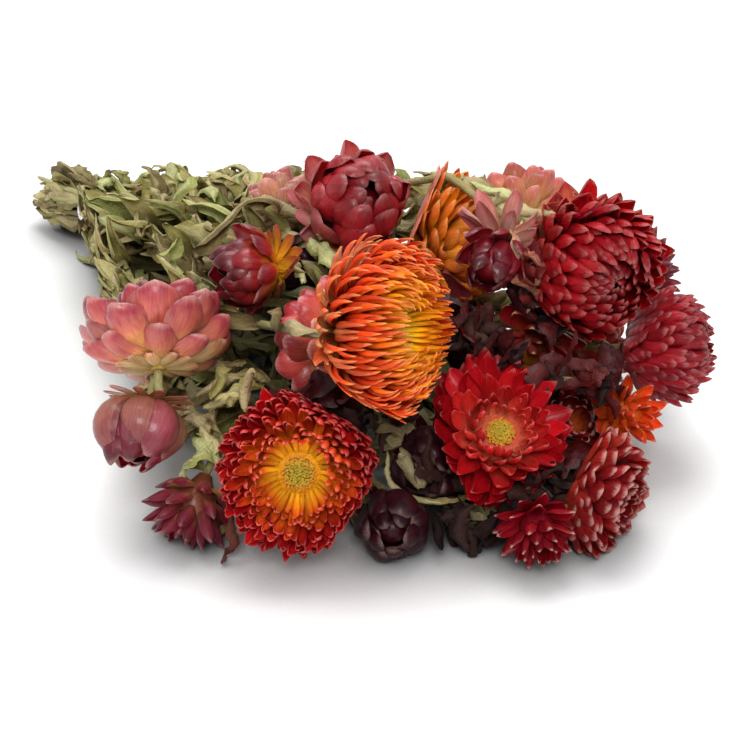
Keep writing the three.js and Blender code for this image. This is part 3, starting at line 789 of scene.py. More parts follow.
@dataclass(frozen=True)
class FloretFinish(Finish):
    """Florets of a disc: tips in three colours from its middle to its rim, deeper between them, at
    their feet and in their mouths, partly their own olive and partly painted shade.
    """

    tips: Colors
    deep: str

    def material(self) -> Material:
        """Makes the material.

        Returns:
            The material.
        """
        tree = Tree(self.name)
        height, share, _ = tree.marks()
        tip = tree.ramp(share, (0.0, 0.6, 1.0), self.tips)
        # the deeper colour low on each floret: partly its own olive, partly painted shade between the
        # florets
        color = tree.blend(tree.step(height, 0.2, 1.0), self.deep, tip)
        return tree.surface({
            "Base Color": tree.toned(color, tree.step(tree.chance(), 0, 1, 0.86, 1.1)),
            "Roughness": 0.7,
            "Normal": tree.bump(tree.noise((3.0, 3.0, 3.0)), 0.0002),
        })


@dataclass(frozen=True)
class ElasticFinish(Finish):
    """A pale, slightly clear elastic with fine ribs, in two colours."""

    groove: str
    rib: str

    def material(self) -> Material:
        """Makes the material.

        Returns:
            The material.
        """
        tree = Tree(self.name)
        ribs = tree.noise((6.0, 0.15, 1.0))
        return tree.surface({
            "Base Color": tree.blend(tree.step(ribs, 0.3, 0.7), self.groove, self.rib),
            "Roughness": 0.38,
            "Transmission Weight": 0.25,
            "Subsurface Weight": 0.2,
            "Subsurface Radius": (0.002, 0.002, 0.002),
            "Normal": tree.bump(ribs, 0.0002),
        })


@dataclass(frozen=True)
class TableFinish(Finish):
    """A white table with a painted contact shadow, darker where things stand close over it."""

    reach: float = 0.045
    power: float = 0.95
    white: float = 0.93

    def material(self) -> Material:
        """Makes the material.

        Returns:
            The material.
        """
        tree = Tree(self.name)
        # painted shadow: ambient occlusion darkens the white where things stand close over it
        near = tree.node("AmbientOcclusion", {"Distance": self.reach}, samples=12).outputs["AO"]
        white = tree.product(tree.math("POWER", near, self.power), self.white)
        return tree.surface({"Base Color": white, "Roughness": 0.6})


BRACTS: dict[str, BractFinish] = {
    finish.name: finish
    for finish in (
        BractFinish("dusty_rose", "e0bc74 d8b47c b87c50", "ecbc58 c46c56 90303e", "c04044 a83640 74182c",
            fade=0.0, fringe="e4b4a4", depth=0.0, rim=0.4, spread=0.24),
        BractFinish("rose_bud", "e8bc6c dca070 b85c50", "a0544c 98444e 70222e", "983038 7c1a2c 500c1c",
            fade=0.0, depth=0.0, dry=0.2, rim=0.6),
        BractFinish("plum", "c8903c 7c1e30 500a1e", "94503a 6a1428 44081c", "cc963a 7a1a2a 44081a",
            fade=0.05, dry=0.1, gloss=0.6, rim=0.5),
        BractFinish("amber", "f6b828 f2a430 c86450", "f6a81c 9a201e 5c0c1c", "a83018 84141c 4c0a16",
            fade=0.0, depth=0.0, dry=0.1, rim=0.4, spread=0.42),
        BractFinish("blush", "e8cc90 dcb084 c88478", "dcac60 cc9870 b06660", "d08450 bc5c50 883038",
            fade=0.0, depth=0.1, rim=0.5),
        BractFinish("wine", "e8c894 dc9c88 b8646c", "a81420 b41422 8a0c1a", "94101c 980e1c 6a1018",
            fade=0.03, dry=0.1, gloss=0.8, rim=0.4, spread=0.5),
        BractFinish("coral", "ecc868 e4b46a d4785a", "ecb85c cc5846 a02630", "d8702c ac2430 7c1020",
            fade=0.0, depth=0.1, dry=0.4, rim=0.4),
        BractFinish("orange", "ecc86c e8ac68 dc8058", "c42808 c02408 e04818", "fecc1c fcb814 f48c1c",
            under="cc3010", fade=0.1, fringe="f8b068", gloss=0.4),
        BractFinish("scarlet", "a40e1a bc1220 a00e1e", "cc1a18 d41c1a b8121e", "f4a41c ec741c dc401c",
            under="b83038", fade=0.05, fringe="f0b4a8", dry=0.16, depth=0.0, gloss=0.6, rim=0.2),
        BractFinish("gold", "f0a860 e88450 d4646c", "fcb01c f69414 ec6c18", "fabc1c f6a416 ee7c14",
            under="e08a78", fade=0.2, fringe="f4c480", dry=0.2, depth=0.1, gloss=0.5, spread=0.5),
        BractFinish("mauve", "ecd0a4 e4ac9c cc7c7c", "b8404c 841424 5c0a18", "8c1420 6a0c1a 480814",
            fade=0.0, depth=0.15, dry=0.1, rim=0.4),
        BractFinish("crimson", "e8bc70 dc8c68 bc4648", "b00a16 b80c1a 920814", "980812 a20a16 640610",
            fade=0.02, dry=0.12, gloss=0.4, rim=0.6),
        BractFinish("garnet", "d88a68 c03c42 981828", "a8101c a81622 800a18", "8c0e18 901624 5c0a14",
            fade=0.02, fringe="dca0a0", dry=0.2, gloss=0.4, rim=0.6),
        BractFinish("peach", "e8cc80 e0b074 cc8468", "e8b470 d49060 b85c58", "d88448 bc5850 943440",
            fade=0.0, depth=0.1, gloss=0.6),
        BractFinish("red", "860812 940a16 7c0814", "b40e18 bc101a a40c18", "e06a4c d83a30 c8282a",
            under="b84c54", fade=0.1, fringe="f2b8ae", dry=0.14, depth=0.1, gloss=0.5, rim=0.2),
        BractFinish("flame", "ec7428 e2461c d03416", "f07028 e8501c d43e1a", "f0641e e0481a bc2e1a",
            under="d88a60", fade=0.1, gloss=0.5),
        BractFinish("rust", "c4562a ac3420 8c1c1c", "b03420 8c1a1a 700f16", "a0281c 7a1216 5a0c12",
            under="9c4c3c", fade=0.05, gloss=0.4),
        BractFinish("ruby", "7c0a18 900e1c 780a18", "840e1c 800a18 640812", "7c0a18 680814 4c060e",
            under="8c3c46", fade=0.05, gloss=0.4),
        BractFinish("claret", "5c0a16 7c0c1c 680a18", "6c0c18 74101e 520812", "c05020 961c1c 6c0c16",
            under="8e4048", fade=0.1, gloss=0.4),
        BractFinish("streaked", "b85a28 961c20 701220", "a83a20 8c161e 661020", "c8702c 84141c 560c18",
            under="c88a70", fringe="f0b878", dry=0.6, gloss=0.5),
        # near-black maroon for the buds deep among the heads: partly their own colour, partly painted shade
        BractFinish("dark", "4a141c 360a14 24060e", "400e18 2c0810 1c040a", "340a12 22060c 160408",
            under="5a2430", fade=0.1, dry=0.1, gloss=0.4),
    )
}
FLORETS = FloretFinish("florets", "a8941e c8a020 e09020", "9e8a20")
ELASTIC = ElasticFinish("band_elastic", "c9c2d2", "ebe6f0")
TABLE = TableFinish("white_table_painted_shadow")


class Dry(IntEnum):
    """Numbers of the dry finishes within a leafy stem."""

    STEM = 0
    OLIVE = 1
    BROWN = 2
    GREEN = 3
    # near-black leaves and bits: partly dark leaves, partly painted shade in the bunch's gaps
    DARK = 4
    TORN = 5
    PALE = 6


DRY_FINISHES: dict[Dry, DryFinish] = {
    Dry.STEM: DryFinish("stem_bark", "6c5c34 948a56 aaa672", "c4b88c", 0.72, 0.0004),
    Dry.OLIVE: DryFinish("leaf_olive", "6e6436 a09658 c8bc84", "ccc294"),
    Dry.BROWN: DryFinish("leaf_brown", "665632 9a8858 c6b484", "ccbc90"),
    Dry.GREEN: DryFinish("leaf_green", "6e7238 9ea05a bec082", "ccca98"),
    # near-black: partly dark dry leaf, partly painted shade
    Dry.DARK: DryFinish("leaf_dark_shade", "1a0a0a 34140f 50241a", "5a3022"),
    Dry.TORN: DryFinish("torn_bract", "300810 5c1016 862420", "7c2c28", 0.5, 0.0003),
    Dry.PALE: DryFinish("pale_bract", "b8584c cc8468 e0b48c", "e4c0a8", 0.45, 0.0003),
}


# ---- Heads ----


@dataclass
class Bloom:
    """A strawflower head: rings of papery bracts round a solid middle.

    at is its centre, face the way it looks (azimuth and elevation in degrees), and radius and half
    are half its width and half its height.
    """

    name: str
    at: Point
    face: Pair
    radius: float
    half: float
    form: Form
    finish: str
    slot: str
    seed: int = 0
    walls: list[tuple[Array, float]] = field(default_factory=list)

    CORE_SIDES = 14
    CORE_SHARE = 0.94  # of the middle's radius, so that it stays inside its solid
    # the middle takes the colour of the bracts' roots, with their painted root shade
    CORE_MARKS = (0.16, 0.5, 0.0, 0.5)
    LEAST_HEIGHT = 0.35  # of bracts over the table

    def __post_init__(self) -> None:
        """Finds the axis and the two directions across it."""
        self.centre = np.array(self.at, float)
        self.axis = heading_of(*self.face)
        turn = Vector(UPRIGHT).rotation_difference(Vector(self.axis)).to_matrix()
        self.right = np.array(turn @ Vector((1, 0, 0)))
        self.up = np.array(turn @ Vector((0, 1, 0)))
        self.habit = HABITS[self.form]

    def reach(self, direction: Array) -> float:
        """Tells how far the head's envelope reaches from its centre along a direction."""
        along = float(self.axis @ direction)
        return math.hypot(self.half * along, self.radius * math.sqrt(max(0.0, 1 - along * along)))

    def find_walls(self, blooms: list["Bloom"]) -> None:
        """Finds the planes that part this head from its neighbours and from the table.

        Args:
            blooms: All heads.
        """
        self.walls = [(np.array([0.0, 0.0, -1.0]), self.centre[2] + PRESS_ON_TABLE)]
        for other in blooms:
            if other is self:
                continue
            normal = other.centre - self.centre
            distance = float(np.linalg.norm(normal))
            normal = normal / distance
            mine, theirs = self.reach(normal), other.reach(normal)
            if distance <= WALL_REACH * (mine + theirs):
                self.walls.append((normal, distance * mine / (mine + theirs) - WALL_MARGIN))

    def pressed(self, points: Array) -> Array:
        """Presses points softly against the walls.

        Args:
            points: Layout points in rows.

        Returns:
            The pressed points.
        """
        points = points.copy()
        for _ in range(2):
            for normal, limit in self.walls:
                depth = (points - self.centre) @ normal
                knee = KNEE * limit
                room = limit - knee
                eased = knee + room * (1 - np.exp(-np.maximum(depth - knee, 0) / room))
                points += np.where(depth > knee, eased - depth, 0.0)[:, None] * normal
        return points

    def outline(self) -> list[Pair]:
        """Lists the outline of the solid middle as radius and height, from its foot."""
        rise = [(r * self.radius, h * self.half) for r, h in self.habit.core.value]
        return [(NECK_SEAT, -self.half), *rise]

    def core_radius(self, height: float) -> float:
        """Tells the radius of the solid middle at a height."""
        radii, heights = zip(*self.outline())
        return float(np.interp(height, heights, radii))

    def top(self) -> float:
        """Tells the height of the solid middle's top."""
        return self.outline()[-1][1]

    def ring(self, share: float, turn: float, random: Random) -> Blades:
        """Makes one ring of bracts.

        Args:
            share: 0 for the outermost ring, 1 for the innermost.
            turn: Turn of the ring, as a share of the space between bracts.
            random: Source of small differences.

        Returns:
            Points, marks and grain, each as blades, rows and columns.
        """
        habit, tier = self.habit, self.habit.tier(share)
        count = max(3, round(tier.count))
        shape = (count, habit.rows, habit.columns)

        def each(low: float, high: float) -> Array:
            """Draws a number for each bract."""
            return random.uniform(low, high, (count, 1, 1))

        def full(values: Array | float) -> Array:
            """Repeats values for all points."""
            return np.broadcast_to(values, shape)

        along = 1 - (1 - np.linspace(0, 1, habit.rows)[None, :, None]) ** 1.5
        across = np.linspace(-1, 1, habit.columns)[None, None, :]
        length = tier.length * self.radius * each(0.9, 1.06)
        half_width = tier.width * length * each(0.86, 1.12) * self._widths(along)
        places = np.arange(count)[:, None, None] + turn
        angle = 2 * math.pi * places / count + each(-0.16, 0.16) * 6 / count
        length = length * (1 - habit.lop * np.maximum(np.sin(angle), 0))
        lean = tier.lean_root + (tier.lean_tip - tier.lean_root) * along
        lean = lean + each(-5, 5) * along * habit.stray
        lean = np.radians(lean + habit.recurve * along ** 4 + each(-6, 9) * along ** 2 * habit.stray)
        radial, axial = self._midline(lean, length, along, tier)
        sine, cosine = np.sin(angle)[..., None], np.cos(angle)[..., None]
        tangent = cosine * self.up - sine * self.right
        outward = cosine * self.right + sine * self.up
        normal = -np.cos(lean)[..., None] * outward + np.sin(lean)[..., None] * self.axis
        heading = np.sin(lean)[..., None] * outward + np.cos(lean)[..., None] * self.axis
        roll = (each(-0.3, 0.3) * along + each(-0.12, 0.12)) * habit.stray
        side = turned(np.broadcast_to(tangent, (*shape[:2], 1, 3)), heading, roll)
        lift = turned(np.broadcast_to(normal, (*shape[:2], 1, 3)), heading, roll)
        reach = across * half_width
        hug = np.cos(lean) / np.maximum(radial, 0.8 * half_width.max(axis=1, keepdims=True))
        cup = (habit.cup + habit.hood * along ** 3) * each(0.5, 1.5) / np.maximum(half_width, 0.4)
        rise = reach ** 2 * (0.5 * np.maximum(hug, 0) + cup)
        rise = np.minimum(rise, np.abs(reach) * 1.1)
        ripple = 0.06 * half_width * np.sin(along * each(8, 15) + across * 2.0 + each(0, 6))
        middle = self.centre + radial[..., None] * outward + axial[..., None] * self.axis
        points = middle + reach[..., None] * side + (rise + ripple * across ** 2)[..., None] * lift
        marks = [full(along), full(share), full(0.5 * np.abs(across)), full(each(0, 1))]
        grain = [full(reach), full(along * length), full(each(0, 900))]
        return points, np.stack(marks, axis=-1), np.stack(grain, axis=-1)

    def _widths(self, along: Array) -> Array:
        """Tells how wide a bract is.

        Args:
            along: Share of the length at each row.

        Returns:
            The share of its greatest width, at each row.
        """
        widen, sharpen, close = self.habit.outline.value
        width = np.maximum(along, 1e-6) ** widen * np.maximum(1 - along ** sharpen, 0) ** close
        return np.maximum(width / width.max(), np.where(along < 0.5, 0.3 * (1 - along), 0.02))

    def _midline(self, lean: Array, length: Array, along: Array, tier: Tier) -> tuple[Array, Array]:
        """Follows bracts from their roots.

        Args:
            lean: Angle from the axis, as bracts and rows.
            length: Length of each bract.
            along: Share of the length at each row.
            tier: The level of bracts.

        Returns:
            Distance from the axis and height, as bracts and rows.
        """
        height = tier.root * self.half
        root = max(1.0, self.core_radius(height) - ROOT_DEPTH)
        middle = (lean[:, 1:] + lean[:, :-1]) / 2
        steps = np.diff(along, axis=1) * length
        start = np.zeros_like(lean[:, :1])
        radial = root + np.concatenate([start, np.cumsum(np.sin(middle) * steps, axis=1)], axis=1)
        axial = height + np.concatenate([start, np.cumsum(np.cos(middle) * steps, axis=1)], axis=1)
        return np.maximum(radial, 0.4), axial

    def lathe(self, outline: list[Pair], sides: int) -> tuple[Array, Array]:
        """Turns an outline round the axis.

        Args:
            outline: Radius and height, from the foot's middle to the top's middle.
            sides: Number of sides.

        Returns:
            Points and faces.
        """
        angles = round_angles(sides)
        outward = np.cos(angles)[:, None] * self.right + np.sin(angles)[:, None] * self.up
        rings = [self.centre + r * outward + h * self.axis for r, h in outline[1:-1]]
        ends = [self.centre + outline[k][1] * self.axis for k in (0, -1)]
        return np.concatenate([*rings, np.array(ends)]), lathe_faces(len(rings), sides)

    def build(self, stems: "StemLines") -> Item:
        """Makes the head.

        Args:
            stems: All stems, which the bracts keep clear of.

        Returns:
            The head's object.
        """
        random = np.random.default_rng(self.seed)
        heap = MeshHeap()
        core = [(self.CORE_SHARE * r, h) for r, h in self.outline()]
        points, faces = self.lathe([(0.0, -self.half), *core, (0.0, self.top())], self.CORE_SIDES)
        marks = np.tile(self.CORE_MARKS, (len(points), 1))
        marks[(points - self.centre) @ self.axis > self.top() - 1.0, 1] = 1.0
        heap.add(self.pressed(points), faces, marks, points * 1.0)
        sheet = Sheet(self.habit.rows, self.habit.columns)
        near = stems.stretches_near(self.centre, self.radius + self.half)
        for level in range(self.habit.rings):
            share = level / (self.habit.rings - 1)
            points, *looks = self.ring(share, 0.5 * level + random.uniform(-0.1, 0.1), random)
            flat = clear_of(self.pressed(points.reshape(-1, 3)), near)
            flat[:, 2] = np.maximum(flat[:, 2], self.LEAST_HEIGHT)
            heap.add_blades(sheet, (flat.reshape(points.shape), *looks), BRACT_THICKNESS)
        finishes = (BRACTS[self.finish],)
        return heap.to_object("head_" + self.name, "bloom_" + self.name, finishes)


def clear_of(points: Array, stretches: list[Stretch]) -> Array:
    """Moves points out of the stems.

    Args:
        points: Points in rows.
        stretches: Stretches of stem.

    Returns:
        The moved points.
    """
    for start, end, radius in stretches:
        line = end - start
        share = np.clip((points - start) @ line / (line @ line), 0, 1)
        apart = points - start - share[:, None] * line
        distance = np.maximum(np.linalg.norm(apart, axis=1), 1e-6)
        push = np.maximum(radius / distance - 1, 0)
        points = points + apart * push[:, None]
    return points


@dataclass
class Disc:
    """The disc of florets in the middle of an open head.

    share is its radius as a share of the head's; rise and foot are its heights in the middle and at
    its edge.
    """

    bloom: Bloom
    share: float
    rise: float = 1.9
    foot: float = 0.6
    florets: int = 150

    SIDES = 20
    DOME = (0.9, 0.7, 0.4, 0.1)  # shares of the radius where the dome has rings
    DOME_RISE = 0.8  # the dome's height, as a share of the disc's
    GOLDEN_ANGLE = 2.39996
    FLORET_SIDES = 6
    FLORET = ((0.2, 0.0), (0.28, 0.7), (0.42, 1.1), (0.26, 1.2), (0.1, 1.0))  # radius and height
    FLORET_TONES = (0.1, 0.5, 1.0, 0.9, 0.3)
    FLORET_ENDS = (0.0, 0.2)  # tones of its foot and of the bottom of its mouth, low for painted shade
    MOUTH = 0.85  # height of the bottom of the mouth

    def build(self) -> Item:
        """Makes the disc: a low dome that carries florets in a spiral.

        Returns:
            The disc's object.
        """
        bloom = self.bloom
        radius = self.share * bloom.radius
        bottom = bloom.top() + GAP
        heap = MeshHeap()
        dome = [(radius * share, bottom + self.height(share) * self.DOME_RISE) for share in self.DOME]
        top = bottom + self.rise * self.DOME_RISE
        points, faces = bloom.lathe([(0.0, bottom), (radius, bottom), *dome, (0.0, top)], self.SIDES)
        heap.add(points, faces, np.tile([0.0, 0.0, 0.0, 0.3], (len(points), 1)), points * 1.0)
        random = np.random.default_rng(bloom.seed + 500)
        for k in range(self.florets):
            share = math.sqrt((k + 0.5) / self.florets)
            self._floret(heap, share, self.GOLDEN_ANGLE * k, bottom, random)
        return heap.to_object("florets_" + bloom.name, "disc_" + bloom.name, (FLORETS,))

    def height(self, share: float) -> float:
        """Tells the disc's height at a share of its radius."""
        return self.foot + (self.rise - self.foot) * (1 - share * share)

    def _floret(self, heap: MeshHeap, share: float, angle: float, bottom: float,
                random: Random) -> None:
        """Adds one floret: a short tube that opens in a small mouth.

        Args:
            heap: Where it goes.
            share: Its distance from the middle, as a share of the disc's radius.
            angle: Its place round the disc.
            bottom: The height of the disc's underside.
            random: Source of small differences.
        """
        bloom = self.bloom
        outward = math.cos(angle) * bloom.right + math.sin(angle) * bloom.up
        lean = unit(bloom.axis + 0.35 * share * outward + random.normal(0, 0.12, 3))
        side = unit(np.cross(lean, bloom.right + 0.1))
        over = np.cross(lean, side)
        height = bottom + self.height(share) * self.DOME_RISE - 0.2
        foot = bloom.centre + self.share * bloom.radius * share * outward + height * bloom.axis
        size = random.uniform(0.85, 1.15)
        turns = round_angles(self.FLORET_SIDES)
        spokes = np.cos(turns)[:, None] * side + np.sin(turns)[:, None] * over
        rings = [foot + size * (r * spokes + h * lean) for r, h in self.FLORET]
        points = np.concatenate([*rings, [foot, foot + size * self.MOUTH * lean]])
        marks = np.zeros((len(points), 4))
        marks[:, 0] = [*np.repeat(self.FLORET_TONES, self.FLORET_SIDES), *self.FLORET_ENDS]
        marks[:, 1] = share
        marks[:, 3] = random.uniform()
        heap.add(points, lathe_faces(len(self.FLORET), self.FLORET_SIDES), marks, points * 1.0)


# ---- Stems and leaves ----


class Curve:
    """A smooth line through points, at its own pace (a centripetal Catmull-Rom spline)."""

    DIVISIONS = 200

    def __init__(self, points: Array) -> None:
        """Measures the line.

        Args:
            points: The points that it passes.
        """
        first, last = 2 * points[0] - points[1], 2 * points[-1] - points[-2]
        self.points = np.concatenate([[first], points, [last]])
        self.count = len(points)
        self.steps = np.linspace(0, 1, self.DIVISIONS + 1)
        chords = np.linalg.norm(np.diff(self.at(self.steps), axis=0), axis=1)
        self.lengths = np.concatenate([[0.0], np.cumsum(chords)])
        self.length = float(self.lengths[-1])

    def at(self, place: Array | float) -> Array:
        """Gives points of the line.

        Args:
            place: Their place in the row of control points, from 0 to 1.

        Returns:
            The points, in rows.
        """
        place = np.atleast_1d(np.asarray(place, float)) * (self.count - 1)
        span = np.minimum(place.astype(int), self.count - 2)
        weight = (place - span)[:, None]
        p0, p1, p2, p3 = (self.points[span + k] for k in range(4))
        chords = ((p0, p1), (p1, p2), (p2, p3))
        d0, d1, d2 = (np.sqrt(np.linalg.norm(b - a, axis=1))[:, None] for a, b in chords)
        t1 = ((p1 - p0) / d0 - (p2 - p0) / (d0 + d1) + (p2 - p1) / d1) * d1
        t2 = ((p2 - p1) / d1 - (p3 - p1) / (d1 + d2) + (p3 - p2) / d2) * d1
        c2, c3 = -3 * p1 + 3 * p2 - 2 * t1 - t2, 2 * p1 - 2 * p2 + t1 + t2
        return p1 + t1 * weight + c2 * weight ** 2 + c3 * weight ** 3

    def tangent(self, place: Array | float) -> Array:
        """Gives directions by place."""
        place = np.atleast_1d(np.asarray(place, float))
        low, high = np.clip(place - 1e-4, 0, 1), np.clip(place + 1e-4, 0, 1)
        return unit(self.at(high) - self.at(low))

    def place_of(self, share: float) -> float:
        """Turns a share of the line's length into a place."""
        return float(np.interp(share * self.length, self.lengths, self.steps))


class StemLines:
    """The centre lines of all stems, from their cut ends through the band to their heads."""

    PITCH = 3.7
    SPREAD = 6.5
    FAN_CENTRE = np.array([0.0, 0.0, 38.0])
    POINTS = 20
    APPROACH = 7.0
    HEART = (5.0, 33.0)
    ROUNDS = 300
    RADIUS = (1.65, 1.35)
    CUT_X = -47.0
    CUT_SCATTER = 9.0
    CUT_FAN = 1.42
    CUT_DROOP = 6.2
    BESIDE = 4.0  # how far a stem passes beside its own head
    AROUND_HEADS = 2.5
    BETWEEN_STEMS = 2.6
    MOST_PUSH = 0.35
    STRETCHES = 44

    def __init__(self, blooms: list[Bloom]) -> None:
        """Lays the stems.

        Args:
            blooms: The heads that they carry.
        """
        self.blooms = blooms
        self.slots = self._slots()
        self.draws = [Draws(2000 + k) for k in range(len(blooms))]
        routes = self._eased(np.array([self._first_route(b, s) for b, s in zip(blooms, self.slots)]))
        self.curves = [self._curve(*way) for way in zip(routes, self.slots, self.draws)]

    def _slots(self) -> list[Pair]:
        """Gives each head a place for its stem in the band, on its own side of the bunch.

        Returns:
            The places, across the band and up from its middle.
        """
        reach = math.ceil(math.sqrt(len(self.blooms)))
        grid = []
        for row in range(-reach, reach + 1):
            for column in range(-reach, reach + 1):
                y = self.PITCH * (column + 0.5 * (abs(row) % 2) + 0.25)
                z = self.PITCH * row * math.sin(math.pi / 3)
                grid.append((math.hypot(y, z), y, z))
        slots = [(y, z) for _, y, z in sorted(grid)[:len(self.blooms)]]
        self.widest = max(math.hypot(y, z) for y, z in slots)
        pairs = []
        for b, bloom in enumerate(self.blooms):
            for s, (y, z) in enumerate(slots):
                wide = self.FAN_CENTRE + self.SPREAD * np.array([0.0, y, z])
                pairs.append((math.hypot(*(bloom.centre - wide)[1:]), b, s))
        chosen, taken = {}, set()
        for _, b, s in sorted(pairs):
            if b not in chosen and s not in taken:
                chosen[b] = slots[s]
                taken.add(s)
        return [chosen[b] for b in range(len(self.blooms))]

    def _first_route(self, bloom: Bloom, slot: Pair) -> Array:
        """Guesses a stem's way: beside its head where the head faces back to the band.

        Args:
            bloom: The head.
            slot: Its stem's place in the band.

        Returns:
            Points from the band to the head.
        """
        start = np.array([GRIP, slot[0], BAND_HEIGHT + slot[1]])
        foot = bloom.centre - bloom.axis * (bloom.half + GAP)
        corners = [start]
        if unit(start - bloom.centre) @ bloom.axis > -0.1:
            inward = np.array([bloom.centre[0], *self.HEART]) - bloom.centre
            beside = square_to(inward, bloom.axis) * (bloom.radius + self.BESIDE)
            corners.append(bloom.centre + beside - 2 * bloom.axis)
        corners = np.array([*corners, foot - bloom.axis * self.APPROACH])
        lengths = np.concatenate([[0.0], np.cumsum(np.linalg.norm(np.diff(corners, axis=0), axis=1))])
        places = np.linspace(0, lengths[-1], self.POINTS - 1)
        path = np.column_stack([np.interp(places, lengths, corners[:, k]) for k in range(3)])
        return np.concatenate([path, [foot]])

    def _eased(self, routes: Array) -> Array:
        """Eases all stems at once: straighter, out of the heads, clear of each other and of the table.

        Args:
            routes: Points as stems, points and coordinates.

        Returns:
            The eased points.
        """
        count, last = len(routes), self.POINTS - 2
        shares = np.arange(self.POINTS) / self.POINTS
        radii = self.RADIUS[0] + (self.RADIUS[1] - self.RADIUS[0]) * shares
        least = radii[1:last, None] + radii[None, 1:] + self.BETWEEN_STEMS
        centres = np.array([bloom.centre for bloom in self.blooms])
        axes = np.array([bloom.axis for bloom in self.blooms])
        sizes = np.array([(bloom.radius, bloom.half) for bloom in self.blooms]) + self.AROUND_HEADS
        own = np.eye(count, dtype=bool)
        late_points = np.arange(1, last) >= self.POINTS - 3
        for turn in range(self.ROUNDS):
            late = turn / self.ROUNDS
            points = routes[:, 1:last]
            moves = ((routes[:, :last - 1] + routes[:, 2:last + 1]) / 2 - points) * lerp(0.5, 0.2, late)
            away = points[:, :, None] - centres
            rise = np.sum(away * axes, axis=-1)
            flat = np.linalg.norm(away - rise[..., None] * axes, axis=-1)
            level = np.hypot(flat / sizes[:, 0], rise / sizes[:, 1])
            push = np.minimum(1 / np.maximum(level, 1e-6) - 1, self.MOST_PUSH)
            push = np.where((level < 1) & (level > 1e-6), push, 0)
            push = np.where(own[:, None, :] & late_points[None, :, None], 0, push)
            moves = moves + 0.5 * np.sum(away * push[..., None], axis=2)
            start, line = routes[:, :-1], np.diff(routes, axis=1)
            gap = points[:, :, None, None] - start[None, None]
            share = np.clip(np.sum(gap * line, axis=-1) / np.sum(line * line, axis=-1), 0, 1)
            apart = gap - share[..., None] * line
            distance = np.linalg.norm(apart, axis=-1)
            room = np.broadcast_to(least[None, :, None, :], distance.shape)
            strength = room / np.maximum(distance, 1e-6) - 1
            strength = np.where((distance < room) & (distance > 1e-6), strength, 0)
            strength = np.where(own[:, None, :, None], 0, strength)
            moves = moves + lerp(0.3, 0.6, late) * np.sum(apart * strength[..., None], axis=(2, 3))
            lowest = radii[1:last] + 0.4
            low = points[..., 2] + moves[..., 2] < lowest
            moves[..., 2] = np.where(low, lowest - points[..., 2], moves[..., 2])
            routes = routes.copy()
            routes[:, 1:last] += moves
        return routes

    def _curve(self, route: Array, slot: Pair, draw: Draws) -> Curve:
        """Joins a stem's cut end, its straight grip in the band and its route.

        Args:
            route: Points from the band to the head.
            slot: The stem's place in the band.
            draw: The stem's own source of numbers.

        Returns:
            The whole centre line.
        """
        y, z = slot
        x = self.CUT_X + self.CUT_SCATTER * (2 * draw.next() - 1)
        tail = [x, y * self.CUT_FAN, BAND_HEIGHT + z * self.CUT_FAN - self.CUT_DROOP]
        straight = [[-GRIP, y, BAND_HEIGHT + z], [0.0, y, BAND_HEIGHT + z]]
        return Curve(np.concatenate([[tail], straight, route]))

    def radius(self, place: Array | float) -> Array | float:
        """Tells a stem's radius by place."""
        return self.RADIUS[0] + (self.RADIUS[1] - self.RADIUS[0]) * place

    def stretches_near(self, centre: Array, reach: float) -> list[Stretch]:
        """Lists the stretches of stem near a point.

        Args:
            centre: The point.
            reach: How far they may be.

        Returns:
            The stretches.
        """
        places = np.linspace(0, 1, self.STRETCHES + 1)
        found = []
        for curve in self.curves:
            points = curve.at(places)
            for k in range(len(points) - 1):
                if np.linalg.norm(points[k] - centre) < reach + 6:
                    found.append((points[k], points[k + 1], float(self.radius(places[k])) + 0.5))
        return found


@dataclass
class Leaf:
    """A shrivelled leaf: it starts inside a stem, curls along its length and rolls in at its edges.

    The angles are radians; crumple is how far it strays from an even curl.
    """

    start: Array
    along: Array
    out: Array
    length: float
    width: float
    opening: float
    curl: float
    fold: float
    twist: float
    roll: float = 1.2
    crumple: float = 0.35
    finish: int = Dry.OLIVE
    chance: float = 0.5

    def surface(self, sheet: Sheet, random: Random) -> Blades:
        """Makes the leaf's points.

        Args:
            sheet: Its rows and columns.
            random: Source of its crumples.

        Returns:
            Points, marks and grain, as one blade.
        """
        along = np.linspace(0, 1, sheet.rows)
        across = np.linspace(-1, 1, sheet.columns)
        hinge = unit(np.cross(self.along, self.out))
        wave = random.uniform(0, 6, 6)
        stray = self.crumple * along
        bend = self.opening + self.curl * along + stray * np.sin(11 * along + wave[0])
        headings = turned(np.tile(self.along, (sheet.rows, 1)), hinge, bend)
        headings = turned(headings, self.out, stray * np.sin(8 * along + wave[1]))
        steps = (headings[1:] + headings[:-1]) / 2 * self.length / (sheet.rows - 1)
        middle = self.start + np.concatenate([[np.zeros(3)], np.cumsum(steps, axis=0)])
        side = turned(np.tile(hinge, (sheet.rows, 1)), headings, self.twist * along)
        shape = np.sin(math.pi * np.clip(along, 0.02, 0.985) ** 0.8) ** 0.7
        half = self.width / 2 * np.maximum(shape, 0.06)
        angle = across[None, :] * self.roll * (1 + 0.35 * np.sin(5 * along + wave[2])[:, None])
        radius = half[:, None] / self.roll
        lift = (1 - np.cos(angle)) * radius + np.abs(across)[None, :] * half[:, None] * self.fold * 0.4
        frill = np.sin(along[:, None] * 17 + wave[3]) * across[None, :]
        frill = frill + 0.6 * np.sin(along[:, None] * 9 + wave[4])
        lift = lift + frill * half[:, None] * (0.12 + 0.22 * self.crumple)
        points = laid_across(middle, side, headings, np.sin(angle) * radius, lift)
        points += random.normal(0, 0.16, points.shape) * (half[:, None, None] / self.width)
        points = within_room(points)
        own = random.uniform(0, 900)
        # the depth in the bunch, which its finish turns into painted shade
        return leaf_blade(points, buried(points), half, self.length, self.chance, own)


